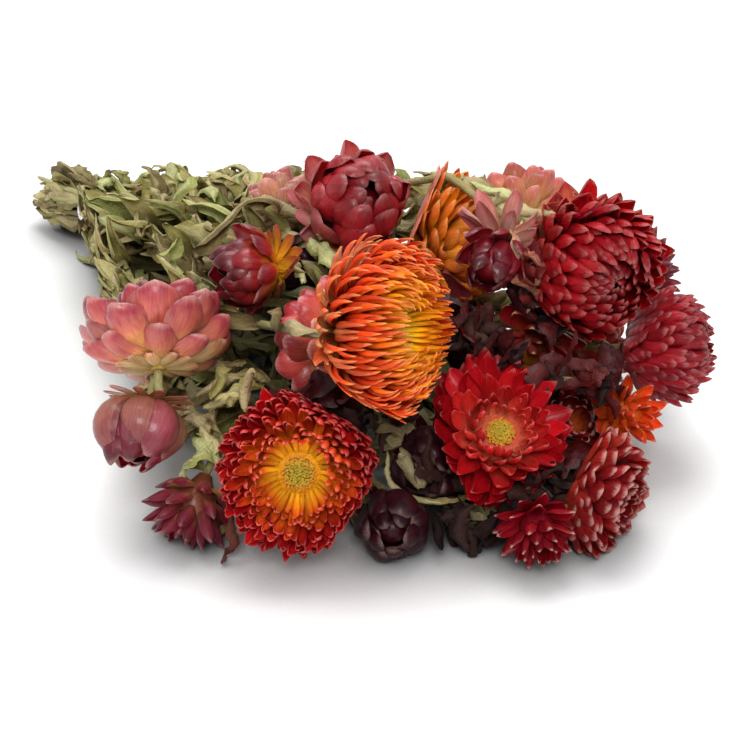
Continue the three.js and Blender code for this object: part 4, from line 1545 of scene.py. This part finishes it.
def laid_across(middle: Array, side: Array, headings: Array, reach: Array, lift: Array) -> Array:
    """Lays a leaf's points across its middle line.

    Args:
        middle: The middle line, in rows.
        side: Directions across the leaf, in rows.
        headings: Directions along the leaf, in rows.
        reach: How far points are to the side, as rows and columns.
        lift: How far they are above the middle line, as rows and columns.

    Returns:
        The points, as rows and columns.
    """
    points = middle[:, None] + reach[..., None] * side[:, None]
    return points + lift[..., None] * np.cross(headings, side)[:, None]


def leaf_blade(points: Array, depth: Array | float, half: Array, length: float, chance: float,
               own: float) -> Blades:
    """Gives a leaf's points their marks and grain.

    Args:
        points: Its points, as rows and columns.
        depth: How deep they lie in the bunch.
        half: Half its width, in rows.
        length: Its length.
        chance: Its own chance.
        own: Its own number in the grain.

    Returns:
        Points, marks and grain, as one blade.
    """
    size = points.shape[:2]
    along, across = np.linspace(0, 1, size[0])[:, None], np.linspace(-1, 1, size[1])[None]
    marks = (depth, np.abs(across), 0.0, chance)
    grain = (half[:, None] * across, along * length, own)
    looks = (np.stack([np.broadcast_to(v, size) for v in values], -1) for values in (marks, grain))
    return tuple(values[None] for values in (points, *looks))


SIDE_ROOM = (14.0, 0.31)  # from the middle plane, and its growth with the distance from the band
TOP_ROOM = (43.0, 0.2)
LEAF_KNEE = 0.75  # leaves are pressed from this share of the way to the edge of their room
LEAST_LEAF_HEIGHT = 0.4


def room_limits(points: Array) -> tuple[Array, Array]:
    """Tells how far leaves may reach sideways and upwards; both limits are uneven.

    Args:
        points: Layout points, in any number of axes.

    Returns:
        The greatest distance from the middle plane, and the greatest height.
    """
    distance = np.maximum(points[..., 0], 0)
    side, top = (start + growth * distance for start, growth in (SIDE_ROOM, TOP_ROOM))
    top = top + 5.0 * np.sin(distance / 8) * np.cos(points[..., 1] / 9 + 0.6)
    top = top + 2.0 * np.sin(distance / 3.1)
    side = side + 4.0 * np.sin(distance / 9 + 1.0) * np.cos(points[..., 2] / 10)
    return side, top


def buried(points: Array) -> Array:
    """Tells how deep points lie in the bunch, from 0 at its outside to 1 in its middle.

    Args:
        points: Layout points, in any number of axes.

    Returns:
        The share of depth, by which the dry finishes paint shade.
    """
    side, top = room_limits(points)
    rise = (points[..., 2] - BAND_HEIGHT) / (top - BAND_HEIGHT)
    return 1 - np.clip(np.maximum(np.abs(points[..., 1]) / side, rise), 0, 1)


def within_room(points: Array) -> Array:
    """Presses leaves into the room that the bunch has for them, from the table up.

    Args:
        points: Layout points, in any number of axes.

    Returns:
        The pressed points.
    """
    points = points.copy()
    side, top = room_limits(points)
    for axis, limit, middle in ((1, side, 0.0), (2, top, BAND_HEIGHT)):
        depth = points[..., axis] - middle
        most = limit - middle
        knee = LEAF_KNEE * most
        over = np.maximum(np.abs(depth) - knee, 0)
        eased = np.sign(depth) * (knee + (most - knee) * (1 - np.exp(-over / (most - knee))))
        held = (over > 0) & ((axis == 1) | (depth > 0))
        points[..., axis] = np.where(held, middle + eased, points[..., axis])
    points[..., 2] = np.maximum(points[..., 2], LEAST_LEAF_HEIGHT)
    return points


@dataclass(frozen=True)
class Growth:
    """Limits between which the looks of a kind of small leaf are drawn; equal limits aren't drawn.

    opening and curl are degrees, twist and roll radians.
    """

    length: Pair
    width: Pair
    opening: Pair
    curl: Pair
    fold: Pair
    twist: Pair
    roll: Pair
    crumple: Pair
    chance: Pair
    finishes: tuple[Dry, ...] = (Dry.OLIVE,)

    def leaf(self, way: Way, random: Random, size: float = 1.0, finish: int | None = None) -> Leaf:
        """Draws a leaf.

        Args:
            way: Its start, the direction of its stem, and the direction that it grows out in.
            random: Source of its looks.
            size: Its relative size.
            finish: Its finish, where it is drawn beforehand.

        Returns:
            The leaf.
        """
        def drawn(limits: Pair) -> float:
            """Draws a number between two limits."""
            return random.uniform(*limits) if limits[0] < limits[1] else limits[0]

        flat = PAPERY_FLATNESS if finish in PAPERY else 1.0
        return Leaf(
            *way,
            length=drawn(self.length) * size,
            width=drawn(self.width) * size,
            opening=math.radians(drawn(self.opening)),
            curl=math.radians(drawn(self.curl)) * flat,
            fold=drawn(self.fold),
            twist=drawn(self.twist) * flat,
            roll=drawn(self.roll) * flat,
            crumple=drawn(self.crumple) * flat,
            finish=int(random.choice(self.finishes)) if finish is None else finish,
            chance=drawn(self.chance),
        )


PAPERY = (Dry.TORN, Dry.PALE)
PAPERY_FLATNESS = 0.4
SHEATH = Growth(
    length=(32, 46), width=(12, 17), opening=(2, 9), curl=(-12, 4), fold=(0.3, 0.3), twist=(-0.6, 0.6),
    roll=(1.2, 2.0), crumple=(0.1, 0.1), chance=(0.1, 0.9), finishes=(Dry.OLIVE, Dry.BROWN, Dry.BROWN),
)
SCRAP = Growth(
    length=(14, 27), width=(6, 10), opening=(15, 75), curl=(-100, 260), fold=(0.1, 0.5),
    twist=(-2.8, 2.8), roll=(1.2, 2.7), crumple=(0.15, 0.6), chance=(0.0, 0.8),
    finishes=(Dry.OLIVE, Dry.OLIVE, Dry.BROWN, Dry.BROWN, Dry.GREEN),
)
BIT = Growth(
    length=(13, 20), width=(6, 10), opening=(math.degrees(0.2),) * 2, curl=(-80, 120), fold=(0.2, 0.8),
    twist=(-2.0, 2.0), roll=(1.0, 2.2), crumple=(0.4, 1.0), chance=(0.0, 1.0),
)


@dataclass(frozen=True)
class Ribbon:
    """A long withered leaf that winds through the bunch, by its middle line in layout millimetres."""

    path: tuple[Point, ...]
    width: float
    finish: Dry
    twist: float = 2.0
    roll: float = 2.0

    def surface(self, sheet: Sheet, random: Random) -> Blades:
        """Makes the ribbon's points.

        Args:
            sheet: Its rows and columns.
            random: Source of its crumples.

        Returns:
            Points, marks and grain, as one blade.
        """
        along = np.linspace(0, 1, sheet.rows)
        across = np.linspace(-1, 1, sheet.columns)
        curve = Curve(np.array(self.path, float))
        middle, headings = curve.at(along), curve.tangent(along)
        hinge = unit(np.cross(headings, [0.2, 0.3, 1.0]))
        waves = 0.5 * np.sin(7 * along + random.uniform(0, 6))
        side = turned(hinge, headings, self.twist * along + waves)
        half = self.width / 2 * np.maximum(np.sin(math.pi * np.clip(along, 0.03, 0.97)) ** 0.45, 0.2)
        half = half * (1 + 0.25 * np.sin(13 * along + random.uniform(0, 6)))
        angle = across[None, :] * self.roll
        radius = half[:, None] / self.roll
        frill = 0.2 * half[:, None] * np.sin(along * 21)[:, None] * across[None]
        lift = (1 - np.cos(angle)) * radius + frill
        points = laid_across(middle, side, headings, np.sin(angle) * radius, lift)
        points += random.normal(0, 0.12, points.shape)
        points[..., 2] = np.maximum(points[..., 2], LEAST_LEAF_HEIGHT)
        return leaf_blade(points, 0.0, half, curve.length, random.uniform(), random.uniform(0, 900))


RIBBONS: dict[str, tuple[Ribbon, ...]] = {
    "amber_goblet": (
        Ribbon(((207, -10, 71), (183, -1, 71), (174, -4, 74), (176, -12, 78), (173, -21, 76),
            (174, -29, 71), (175, -36, 66), (173, -39, 60), (173, -42, 54), (182, -43, 51)),
            8.5, Dry.BROWN),
        Ribbon(((169, -43, 68), (164, -44, 60), (165, -44, 53), (181, -48, 51), (199, -51, 52)),
            9.0, Dry.GREEN, 1.2, 1.4),
        Ribbon(((203, -19, 64), (209, -20, 62), (214, -22, 61)), 4.0, Dry.GREEN, 0.5),
        Ribbon(((199, -9, 69), (206, -9, 67), (215, -11, 64)), 8.0, Dry.GREEN, 1.0, 1.0),
    ),
    "rose_cup": (
        Ribbon(((214, -64, 33), (219, -61, 38), (224, -56, 40), (224, -48, 40), (225, -43, 36)),
            6.5, Dry.BROWN, 5.0),
        Ribbon(((222, -66, 33), (226, -61, 36), (229, -54, 39), (228, -47, 37)), 6.0, Dry.OLIVE, 4.0),
        Ribbon(((205, -62, 37), (211, -58, 41), (215, -53, 40), (215, -46, 40)), 6.0, Dry.BROWN, 4.0),
    ),
    "crimson_full": (
        Ribbon(((205, 38, 85), (212, 41, 85), (219, 44, 84), (225, 48, 81), (229, 51, 78)),
            7.0, Dry.BROWN, 1.6, 1.2),
        Ribbon(((220, 44, 84), (226, 48, 82), (233, 51, 79), (238, 55, 75), (240, 56, 70)),
            9.0, Dry.GREEN, 1.2, 1.4),
    ),
    "maroon_bud": (
        Ribbon(((264, -26, 23), (270, -30, 18), (275, -29, 15), (282, -24, 13), (286, -17, 13),
            (285, -8, 12)), 3.6, Dry.STEM, 3.0),
    ),
    "plum_star": (
        Ribbon(((231, -67, 26), (232, -73, 25), (231, -77, 21), (230, -81, 15)),
            13.0, Dry.GREEN, 1.0, 1.0),
        Ribbon(((240, -68, 9), (243, -72, 4), (245, -78, 1.5)), 3.0, Dry.BROWN, 3.0),
        Ribbon(((251, -73, 20), (253, -75, 13), (256, -77, 7), (255, -79, 3), (256, -81, 1)),
            3.6, Dry.DARK, 1.2, 1.0),
    ),
}


@dataclass(frozen=True)
class Litter:
    """Loose bits of leaves and bracts that fill a gap between heads, along a line; most are near-black
    by default, partly dark leaves and partly painted shade in the gap.
    """

    first: Point
    last: Point
    count: int
    finishes: tuple[Dry, ...] = (Dry.DARK, Dry.DARK, Dry.DARK, Dry.DARK, Dry.BROWN)

    SCATTER = 2.0
    SETBACK = 6.0  # from a bit's place in the line to its start

    def leaves(self, random: Random) -> list[Leaf]:
        """Scatters the bits.

        Args:
            random: Source of their places and looks.

        Returns:
            The leaves.
        """
        first, last = np.array(self.first, float), np.array(self.last, float)
        leaves = []
        for share in (np.arange(self.count) + 0.5) / self.count:
            place = lerp(first, last, share) + random.normal(0, self.SCATTER, 3)
            along = unit(random.normal(0, 1, 3) * [1.0, 1.0, 0.6])
            out = unit(np.cross(along, random.normal(0, 1, 3)))
            finish = int(random.choice(self.finishes))
            leaves.append(BIT.leaf((place - self.SETBACK * along, along, out), random, finish=finish))
        return leaves


TORN_BRACTS = (Dry.TORN, Dry.TORN, Dry.DARK, Dry.TORN)
PALE_BRACTS = (Dry.PALE, Dry.PALE, Dry.TORN)
DARK_SHADE_BITS = (Dry.DARK, Dry.DARK, Dry.DARK, Dry.TORN)
TAN_BITS = (Dry.BROWN, Dry.BROWN, Dry.OLIVE)
# bits between heads and on the table under the front, mostly near-black: partly painted shade
LITTER: dict[str, tuple[Litter, ...]] = {
    "black_bud": (
        Litter((280, -25, 24), (282, -16, 14), 7),
        Litter((280, -18, 9), (287, -10, 4), 7),
        Litter((286, -25, 4), (298, -9, 4), 8),
        Litter((287, -8, 10), (298, -1, 6), 6),
    ),
    "scarlet_daisy": (
        Litter((246, -44, 44), (252, -33, 38), 8, TORN_BRACTS),
        Litter((255, -34, 38), (266, -23, 32), 9),
        Litter((230, -69, 42), (231, -57, 42), 3, TAN_BITS),
        Litter((227, -72, 26), (229, -66, 30), 3, TAN_BITS),
    ),
    "streaked_star": (
        Litter((252, 9, 60), (264, 6, 50), 9, DARK_SHADE_BITS),
        Litter((261, 12, 52), (271, 15, 48), 6, TORN_BRACTS),
        Litter((287, 18, 46), (290, 32, 42), 7, TORN_BRACTS),
        Litter((289, 39, 36), (292, 47, 38), 6, TORN_BRACTS),
        Litter((254, 46, 50), (273, 36, 50), 7, TORN_BRACTS),
        Litter((257, 33, 74), (262, 40, 62), 7, PALE_BRACTS),
        Litter((262, 40, 60), (258, 36, 50), 7, TORN_BRACTS),
        Litter((248, 41, 54), (248, 49, 54), 6, DARK_SHADE_BITS),
        Litter((259, 34, 63), (263, 38, 57), 6, PALE_BRACTS),
    ),
    "ruby_star": (
        Litter((298, -5, 20), (301, 5, 14), 7),
        Litter((301, 4, 24), (304, 15, 14), 9, TORN_BRACTS),
        Litter((295, 18, 26), (302, 20, 18), 7, TORN_BRACTS),
    ),
    "orange_open": (
        Litter((179, 52, 74), (190, 58, 74), 5, TAN_BITS),
        Litter((192, 59, 72), (204, 68, 70), 6, TAN_BITS),
    ),
}


@dataclass(frozen=True)
class LeafHabit:
    """How long leaves leave their stem: degrees that they open and curl by, and their relative size.

    stops are the shares of a leaf's length where its solid bends.
    """

    opening: Pair
    curl: Pair
    size: float
    stops: tuple[float, ...]


@dataclass
class LeafyStem:
    """A dry stem with its shrivelled leaves, long ones and many small ones."""

    index: int
    bloom: Bloom
    stems: StemLines
    scraps: int = 28
    sheaths: int = 2

    UPPER = LeafHabit((15, 45), (-60, 230), 1.0, (0.0, 0.36, 0.74, 1.0))
    TAIL = LeafHabit((4, 12), (-15, 5), 0.7, (0.0, 0.55, 1.0))
    BROAD, SMALL, LONG = Sheet(18, 7), Sheet(14, 5), Sheet(40, 5)
    SIDES = 10
    RINGS = 70
    SLENDER = 0.9  # of the solid's radius
    TRIES = 4  # at a long leaf, as for its solid
    LONG_FINISHES = (Dry.OLIVE, Dry.OLIVE, Dry.OLIVE, Dry.BROWN, Dry.GREEN)
    INNER_LEAVES = 120.0  # long leaves beyond this are narrower

    def build(self, keep_out: Callable[[Array], bool]) -> Item:
        """Makes the stem.

        Args:
            keep_out: Tells whether a point lies inside a head.

        Returns:
            The stem's object.
        """
        random = np.random.default_rng(3000 + self.index)
        self.curve = self.stems.curves[self.index]
        name = self.bloom.name
        heap = MeshHeap()
        self._tube(heap, random)
        self._grow(heap, self.BROAD, self._long_leaves(random), random)
        self._grow(heap, self.SMALL, [*self._sheaths(random), *self._scraps(random, keep_out)], random)
        for litter in LITTER.get(name, ()):
            self._grow(heap, self.SMALL, litter.leaves(random), random)
        self._grow(heap, self.LONG, RIBBONS.get(name, ()), random)
        finishes = tuple(DRY_FINISHES[number] for number in Dry)
        return heap.to_object("stem_" + name, "leafy_stem_" + name, finishes)

    @staticmethod
    def _grow(heap: MeshHeap, sheet: Sheet, leaves: list[Leaf] | tuple[Ribbon, ...],
              random: Random) -> None:
        """Adds leaves to the stem."""
        for leaf in leaves:
            heap.add_blades(sheet, leaf.surface(sheet, random), LEAF_THICKNESS, leaf.finish)

    def _tube(self, heap: MeshHeap, random: Random) -> None:
        """Adds the stem itself: ribbed, slightly knotted, with a slanting cut.

        Args:
            heap: Where it goes.
            random: Source of the knots.
        """
        places = np.linspace(0, 1, self.RINGS)
        centre, tangent = self.curve.at(places), self.curve.tangent(places)
        side = unit(np.cross(tangent, UPRIGHT))
        over = np.cross(side, tangent)
        angles = round_angles(self.SIDES)
        ribs = 1 + 0.09 * (np.arange(self.SIDES) % 2)
        knots = 1 + 0.1 * np.convolve(random.normal(0, 1, self.RINGS + 4), np.ones(5) / 5, "valid")
        radius = self.SLENDER * self.stems.radius(places) * knots
        cosine, sine = np.cos(angles)[None, :, None], np.sin(angles)[None, :, None]
        spokes = cosine * side[:, None] + sine * over[:, None]
        points = centre[:, None] + spokes * (radius[:, None] * ribs)[..., None]
        points[0] += np.cos(angles)[:, None] * tangent[0] * 1.2 * radius[0]
        points[..., 2] = np.maximum(points[..., 2], 0.3)
        ends = [centre[0] + 0.5 * tangent[0], centre[-1]]
        along = np.repeat(places * self.curve.length, self.SIDES)
        around = np.tile(angles * 2.0, self.RINGS)
        grain = np.column_stack([around, along, np.full(len(along), self.index * 31.0)])
        grain = np.concatenate([grain, np.zeros((2, 3))])
        marks = np.zeros((len(grain), 4))
        # the depth in the bunch, which the stem's finish turns into painted shade
        marks[:-2, 0] = buried(points.reshape(-1, 3))
        marks[-2:, 2] = 1.0
        marks[:, 3] = random.uniform()
        faces = lathe_faces(self.RINGS, self.SIDES)
        heap.add(np.concatenate([points.reshape(-1, 3), ends]), faces, marks, grain)

    def _long_leaves(self, random: Random) -> list[Leaf]:
        """Draws the long leaves, and keeps those that the stem's solid has.

        Args:
            random: Source of their looks.

        Returns:
            The leaves.
        """
        draw, length = self.stems.draws[self.index], self.curve.length
        shares = [draw.between(6, 18) / length]
        low, high = 70 / length, 1 - 31 / length
        shares += [lerp(low, high, (k + draw.next()) / 3) for k in range(3)]
        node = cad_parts["leafy_stem_" + self.bloom.name]
        corners = np.array([tuple(vertex.co) for vertex in node.data.vertices]) / MM - ORIGIN
        kept = []
        for share in shares:
            for _ in range(self.TRIES):
                leaf, tip = self._drawn(share, draw)
                if np.min(np.linalg.norm(corners - tip, axis=1)) < 1.0:
                    leaf.finish = int(random.choice(self.LONG_FINISHES))
                    leaf.chance = random.uniform()
                    leaf.roll = random.uniform(1.5, 2.6)
                    leaf.crumple = random.uniform(0.2, 0.7)
                    leaf.width *= 0.6 if leaf.start[0] > self.INNER_LEAVES else 0.95
                    kept.append(leaf)
                    break
        return kept

    def _drawn(self, share: float, draw: Draws) -> tuple[Leaf, Array]:
        """Draws one long leaf.

        Args:
            share: Where it starts, as a share of the stem's length.
            draw: The stem's own source of numbers.

        Returns:
            The leaf and the tip of its solid.
        """
        start, along = self._spot(share)
        habit = self.UPPER
        if start[0] < -GRIP:
            habit, along = self.TAIL, -along
        out = square_to(np.array([0.0, start[1], start[2] - BAND_HEIGHT]), along)
        out = turned(out[None], along, math.radians(draw.between(-75, 75)))[0]
        leaf = Leaf(
            start, along, out,
            length=draw.between(22, 38) * habit.size,
            width=draw.between(9, 14) * habit.size,
            opening=math.radians(draw.between(*habit.opening)),
            curl=math.radians(draw.between(*habit.curl)),
            fold=draw.between(0.25, 0.75),
            twist=math.radians(draw.between(-70, 70)),
        )
        hinge = unit(np.cross(along, out))
        tip, last = start.copy(), 0.0
        for stop in habit.stops:
            heading = turned(along[None], hinge, leaf.opening + leaf.curl * (stop + last) / 2)[0]
            tip = tip + heading * (stop - last) * leaf.length
            last = stop
        tip[2] = max(tip[2], 0.25)
        return leaf, tip

    def _spot(self, share: float) -> tuple[Array, Array]:
        """Gives the point and the direction of the stem at a share of its length."""
        place = self.curve.place_of(share)
        return self.curve.at(place)[0], self.curve.tangent(place)[0]

    def _sheaths(self, random: Random) -> list[Leaf]:
        """Draws the leaves that wrap the stem behind the band.

        Args:
            random: Source of their sizes and places.

        Returns:
            The leaves.
        """
        leaves = []
        for _ in range(self.sheaths):
            start, tangent = self._spot(random.uniform(18, 38) / self.curve.length)
            along = -tangent
            out = unit(np.cross(along, UPRIGHT))[None]
            out = turned(out, along, random.uniform(0, 2 * math.pi))[0]
            leaves.append(SHEATH.leaf((start, along, out), random))
        return leaves

    def _scraps(self, random: Random, keep_out: Callable[[Array], bool]) -> list[Leaf]:
        """Draws the small curled leaves between the band and the heads.

        Args:
            random: Source of their sizes and places.
            keep_out: Tells whether a point lies inside a head.

        Returns:
            The leaves.
        """
        leaves = []
        for k in range(self.scraps):
            share = ((k + random.uniform()) / self.scraps) ** 0.9
            share = lerp(58 / self.curve.length, 0.95, share)
            start, along = self._spot(share)
            out = np.array([0.0, start[1], start[2] - BAND_HEIGHT]) + random.normal(0, 11, 3)
            out = square_to(out, along)
            leaf = SCRAP.leaf((start, along, out), random, 1.14 + 0.45 * math.sin(math.pi * share))
            tip = start + leaf.length * 0.5 * unit(along + out * math.tan(min(leaf.opening, 1.2)))
            if not keep_out(tip):
                leaves.append(leaf)
        return leaves


# ---- Band ----


@dataclass
class TieBand:
    """The elastic band, wound round the stems in strands that lie side by side."""

    inner: float
    thickness: float = 1.3
    width: float = 7.0
    strands: int = 3
    rings: int = 120

    SIDES = 10
    OVERLAP = 1.04
    MARKS = (0.5, 0.5, 0.0, 0.5)
    GRAIN_NUMBER = 7.0

    def build(self) -> Item:
        """Makes the band.

        Returns:
            The band's object.
        """
        heap = MeshHeap()
        for number in range(self.strands):
            self._strand(heap, number)
        return heap.to_object("elastic_band", "tie_band", (ELASTIC,))

    def _strand(self, heap: MeshHeap, number: int) -> None:
        """Adds one strand.

        Args:
            heap: Where it goes.
            number: Its number, which sets its place along the stems and its waves.
        """
        angles, turns = round_angles(self.rings), round_angles(self.SIDES)
        pitch = self.width / self.strands
        place = (number - (self.strands - 1) / 2) * pitch
        wave = 0.22 * np.sin(3 * angles + number * 2.1) + 0.12 * np.sin(7 * angles + number)
        middle = self.inner + self.thickness / 2 + 0.15 * np.sin(9 * angles + number * 1.3)
        slide = pitch / 2 * self.OVERLAP * np.cos(turns)
        radial = middle[:, None] + (self.thickness / 2 * np.sin(turns))[None]
        x = place + wave[:, None] + slide[None]
        y, rise = radial * np.cos(angles)[:, None], radial * np.sin(angles)[:, None]
        points = np.stack([x, y, BAND_HEIGHT + rise], -1)
        grid = np.arange(points.shape[0] * points.shape[1]).reshape(points.shape[:2])
        after, beside = np.roll(grid, -1, 0), np.roll(grid, -1, 1)
        faces = np.stack([grid, after, np.roll(after, -1, 1), beside], -1).reshape(-1, 4)
        grain = (slide[None], (angles * self.inner)[:, None], self.GRAIN_NUMBER)
        grain = np.stack(np.broadcast_arrays(*grain), -1).reshape(-1, 3)
        heap.add(points.reshape(-1, 3), faces, np.tile(self.MARKS, (grid.size, 1)), grain)


# ---- Studio ----


@dataclass(frozen=True)
class Studio:
    """White table, soft light and the camera; the eye and the window's places are in the layout."""

    eye: Point = (478.2, -192.3, 190.4)
    azimuth: float = 53.0
    down: float = 27.5
    lens: float = 50.0
    sky: float = 0.6
    sun_from: Pair = (150.0, 64.0)  # azimuth and elevation
    sun_width: float = 40.0
    sun_power: float = 2.05
    window_aim: Point = (200.0, 0.0, 40.0)
    window_offset: Point = (0.7, -0.5, 0.8)  # metres from what it points at
    window_size: float = 0.45
    window_power: float = 9.0
    table_half: float = 4.0
    table_drop: float = 0.0003

    def build(self) -> None:
        """Sets the table, the lights and the camera."""
        self._table()
        self._sky()
        self._sun()
        self._window()
        self._camera()
        view = bpy.context.scene.view_settings
        view.view_transform = "Standard"
        view.look = "None"

    def _table(self) -> None:
        """Lays the white table."""
        mesh = bpy.data.meshes.new("table")
        far, low = self.table_half, -self.table_drop
        corners = [(-far, -far, low), (far, -far, low), (far, far, low), (-far, far, low)]
        mesh.from_pydata(corners, [], [(0, 1, 2, 3)])
        table = placed(bpy.data.objects.new("table", mesh))
        mesh.materials.append(material_of(TABLE))

    def _sky(self) -> None:
        """Lights the scene evenly from all round."""
        world = bpy.data.worlds.new("studio")
        world.use_nodes = True
        background = world.node_tree.nodes["Background"]
        background.inputs[0].default_value = (1.0, 1.0, 1.0, 1.0)
        background.inputs[1].default_value = self.sky
        bpy.context.scene.world = world

    def _sun(self) -> None:
        """Adds the main light, even over the whole table."""
        light = bpy.data.lights.new("sun", "SUN")
        light.angle = math.radians(self.sun_width)
        light.energy = self.sun_power
        lamp = placed(bpy.data.objects.new("sun", light))
        lamp.rotation_euler = Vector(heading_of(*self.sun_from)).to_track_quat("Z", "Y").to_euler()

    def _window(self) -> None:
        """Adds a soft lamp at the side."""
        light = bpy.data.lights.new("window", "AREA")
        light.size = self.window_size
        light.energy = self.window_power
        lamp = placed(bpy.data.objects.new("window", light))
        offset = Vector(self.window_offset)
        lamp.location = Vector((ORIGIN + np.array(self.window_aim)) * MM) + offset
        lamp.rotation_euler = (-offset).to_track_quat("-Z", "Y").to_euler()

    def _camera(self) -> None:
        """Sets the camera at its height, azimuth and downward angle."""
        a, e = math.radians(self.azimuth), math.radians(self.down)
        right = Vector((math.cos(a), math.sin(a), 0))
        level = Vector((-math.sin(a), math.cos(a), 0))
        forward = level * math.cos(e) - Vector(UPRIGHT) * math.sin(e)
        up = level * math.sin(e) + Vector(UPRIGHT) * math.cos(e)
        turn = Matrix((right, up, -forward)).transposed()
        camera = bpy.data.cameras.new("camera")
        camera.lens = self.lens
        camera.clip_start = 0.01
        seat = placed(bpy.data.objects.new("camera", camera))
        seat.matrix_world = Matrix.Translation((np.array(self.eye) + ORIGIN) * MM) @ turn.to_4x4()
        bpy.context.scene.camera = seat


# ---- The bunch ----


def bunch_of_blooms() -> list[Bloom]:
    """Lists all heads: name, centre, facing, radius, half height, form, finish and the record's slot.

    Returns:
        The heads, each with its walls.
    """
    crimson, rose, orange, dark = "crimson_bract", "rose_bract", "orange_bract", "dark_bract"
    rows = (
        ("rose_cup", (208, -72, 56), (151, 44), 26, 13, Form.CUP, "dusty_rose", rose),
        ("rose_bud", (223, -88, 31), (-48, -37), 15, 12, Form.BUD, "rose_bud", rose),
        ("plum_star", (238, -80, 10), (-61, -40), 16, 11, Form.STAR, "plum", dark),
        ("amber_goblet", (200, -37, 64), (-107, 2), 15, 12, Form.GOBLET, "amber", orange),
        ("blush_cup", (157, 5, 70), (158, 31), 15.5, 11, Form.CUP, "blush", rose),
        ("wine_full", (199, 11, 76.5), (-15, 35), 21, 16, Form.GLOBE, "wine", crimson),
        ("coral_cup", (223, -24, 45), (-156, -7), 21, 13, Form.CUP, "coral", rose),
        ("orange_shaggy", (266, -29, 65), (26, 14), 27, 18, Form.SHAGGY, "orange", orange),
        ("scarlet_daisy", (264, -58, 28), (-37, 23), 26, 12, Form.DAISY, "scarlet", crimson),
        ("orange_open", (221, 34, 62), (27, 20), 25, 15, Form.WIDE, "gold", orange),
        ("mauve_bud", (255, 21, 68), (-64, -26), 15, 14, Form.PARASOL, "mauve", dark),
        ("crimson_full", (267, 54, 63), (-18, 9), 25, 17, Form.FULL, "crimson", crimson),
        ("garnet_full", (285, 73, 38), (32, 12), 20, 13, Form.FULL, "garnet", crimson),
        ("peach_cup", (209, 78, 67), (150, 33), 21, 12, Form.CUP, "peach", rose),
        ("red_daisy", (287, -2, 31), (-33, 48), 27.5, 13, Form.LOTUS, "red", crimson),
        ("flame_rosette", (292, 50, 23), (-14, 23), 14, 12, Form.STAR, "flame", orange),
        ("rust_open", (312, 17, 15.5), (14, -7), 19, 13, Form.OPEN, "rust", orange),
        ("ruby_star", (311, -8, 13), (-30, -17), 13, 11, Form.STAR, "ruby", crimson),
        ("maroon_bud", (274, -17, 18), (-43, 9), 14, 13, Form.BUD, "dark", dark),
        ("black_bud", (282, -38, 10.5), (-40, 13), 13, 12, Form.BUD, "dark", dark),
        ("claret_open", (276, 43, 14), (-22, 39), 19, 11, Form.OPEN, "claret", crimson),
        ("streaked_star", (257, 41, 36), (-48, -8), 18, 12, Form.STAR, "streaked", dark),
        ("shadow_bud", (227, 34, 31), (-30, 33), 15, 13, Form.BUD, "dark", dark),
        ("ink_bud", (181, 0, 54), (-21, 39), 13, 12, Form.BUD, "dark", dark),
        ("far_rust", (240, 88, 16), (70, 5), 20, 12, Form.OPEN, "rust", orange),
        ("far_wine", (196, 56, 34), (110, 0), 19, 14, Form.FULL, "wine", crimson),
        ("far_plum", (259, 92, 52), (60, 20), 16, 12, Form.STAR, "plum", dark),
    )
    blooms = [Bloom(*row, seed=1000 + k) for k, row in enumerate(rows)]
    for bloom in blooms:
        bloom.find_walls(blooms)
    return blooms


DISCS: dict[str, float] = {  # heads that show their disc, and its share of their radius
    "scarlet_daisy": 0.18,
    "orange_shaggy": 0.18,
    "red_daisy": 0.14,
    "orange_open": 0.18,
}


def report(piece: Item) -> None:
    """Logs a piece's name and number of faces."""
    LOG.info("%s: %d faces", piece.name, len(piece.data.polygons))


def main() -> None:
    """Builds the bunch in order and reports each piece."""
    logging.basicConfig(level=logging.INFO, format="%(message)s")
    Studio().build()
    blooms = bunch_of_blooms()
    stems = StemLines(blooms)

    def keep_out(point: Array) -> bool:
        """Tells whether a point lies inside a head."""
        return any(np.linalg.norm(point - bloom.centre) < 0.8 * bloom.half for bloom in blooms)

    for bloom in blooms:
        report(bloom.build(stems))
    for bloom in blooms:
        if bloom.name in DISCS:
            report(Disc(bloom, DISCS[bloom.name]).build())
    for index, bloom in enumerate(blooms):
        report(LeafyStem(index, bloom, stems).build(keep_out))
    report(TieBand(stems.widest + StemLines.RADIUS[0] + GAP).build())


if __name__ == "__main__":
    main()
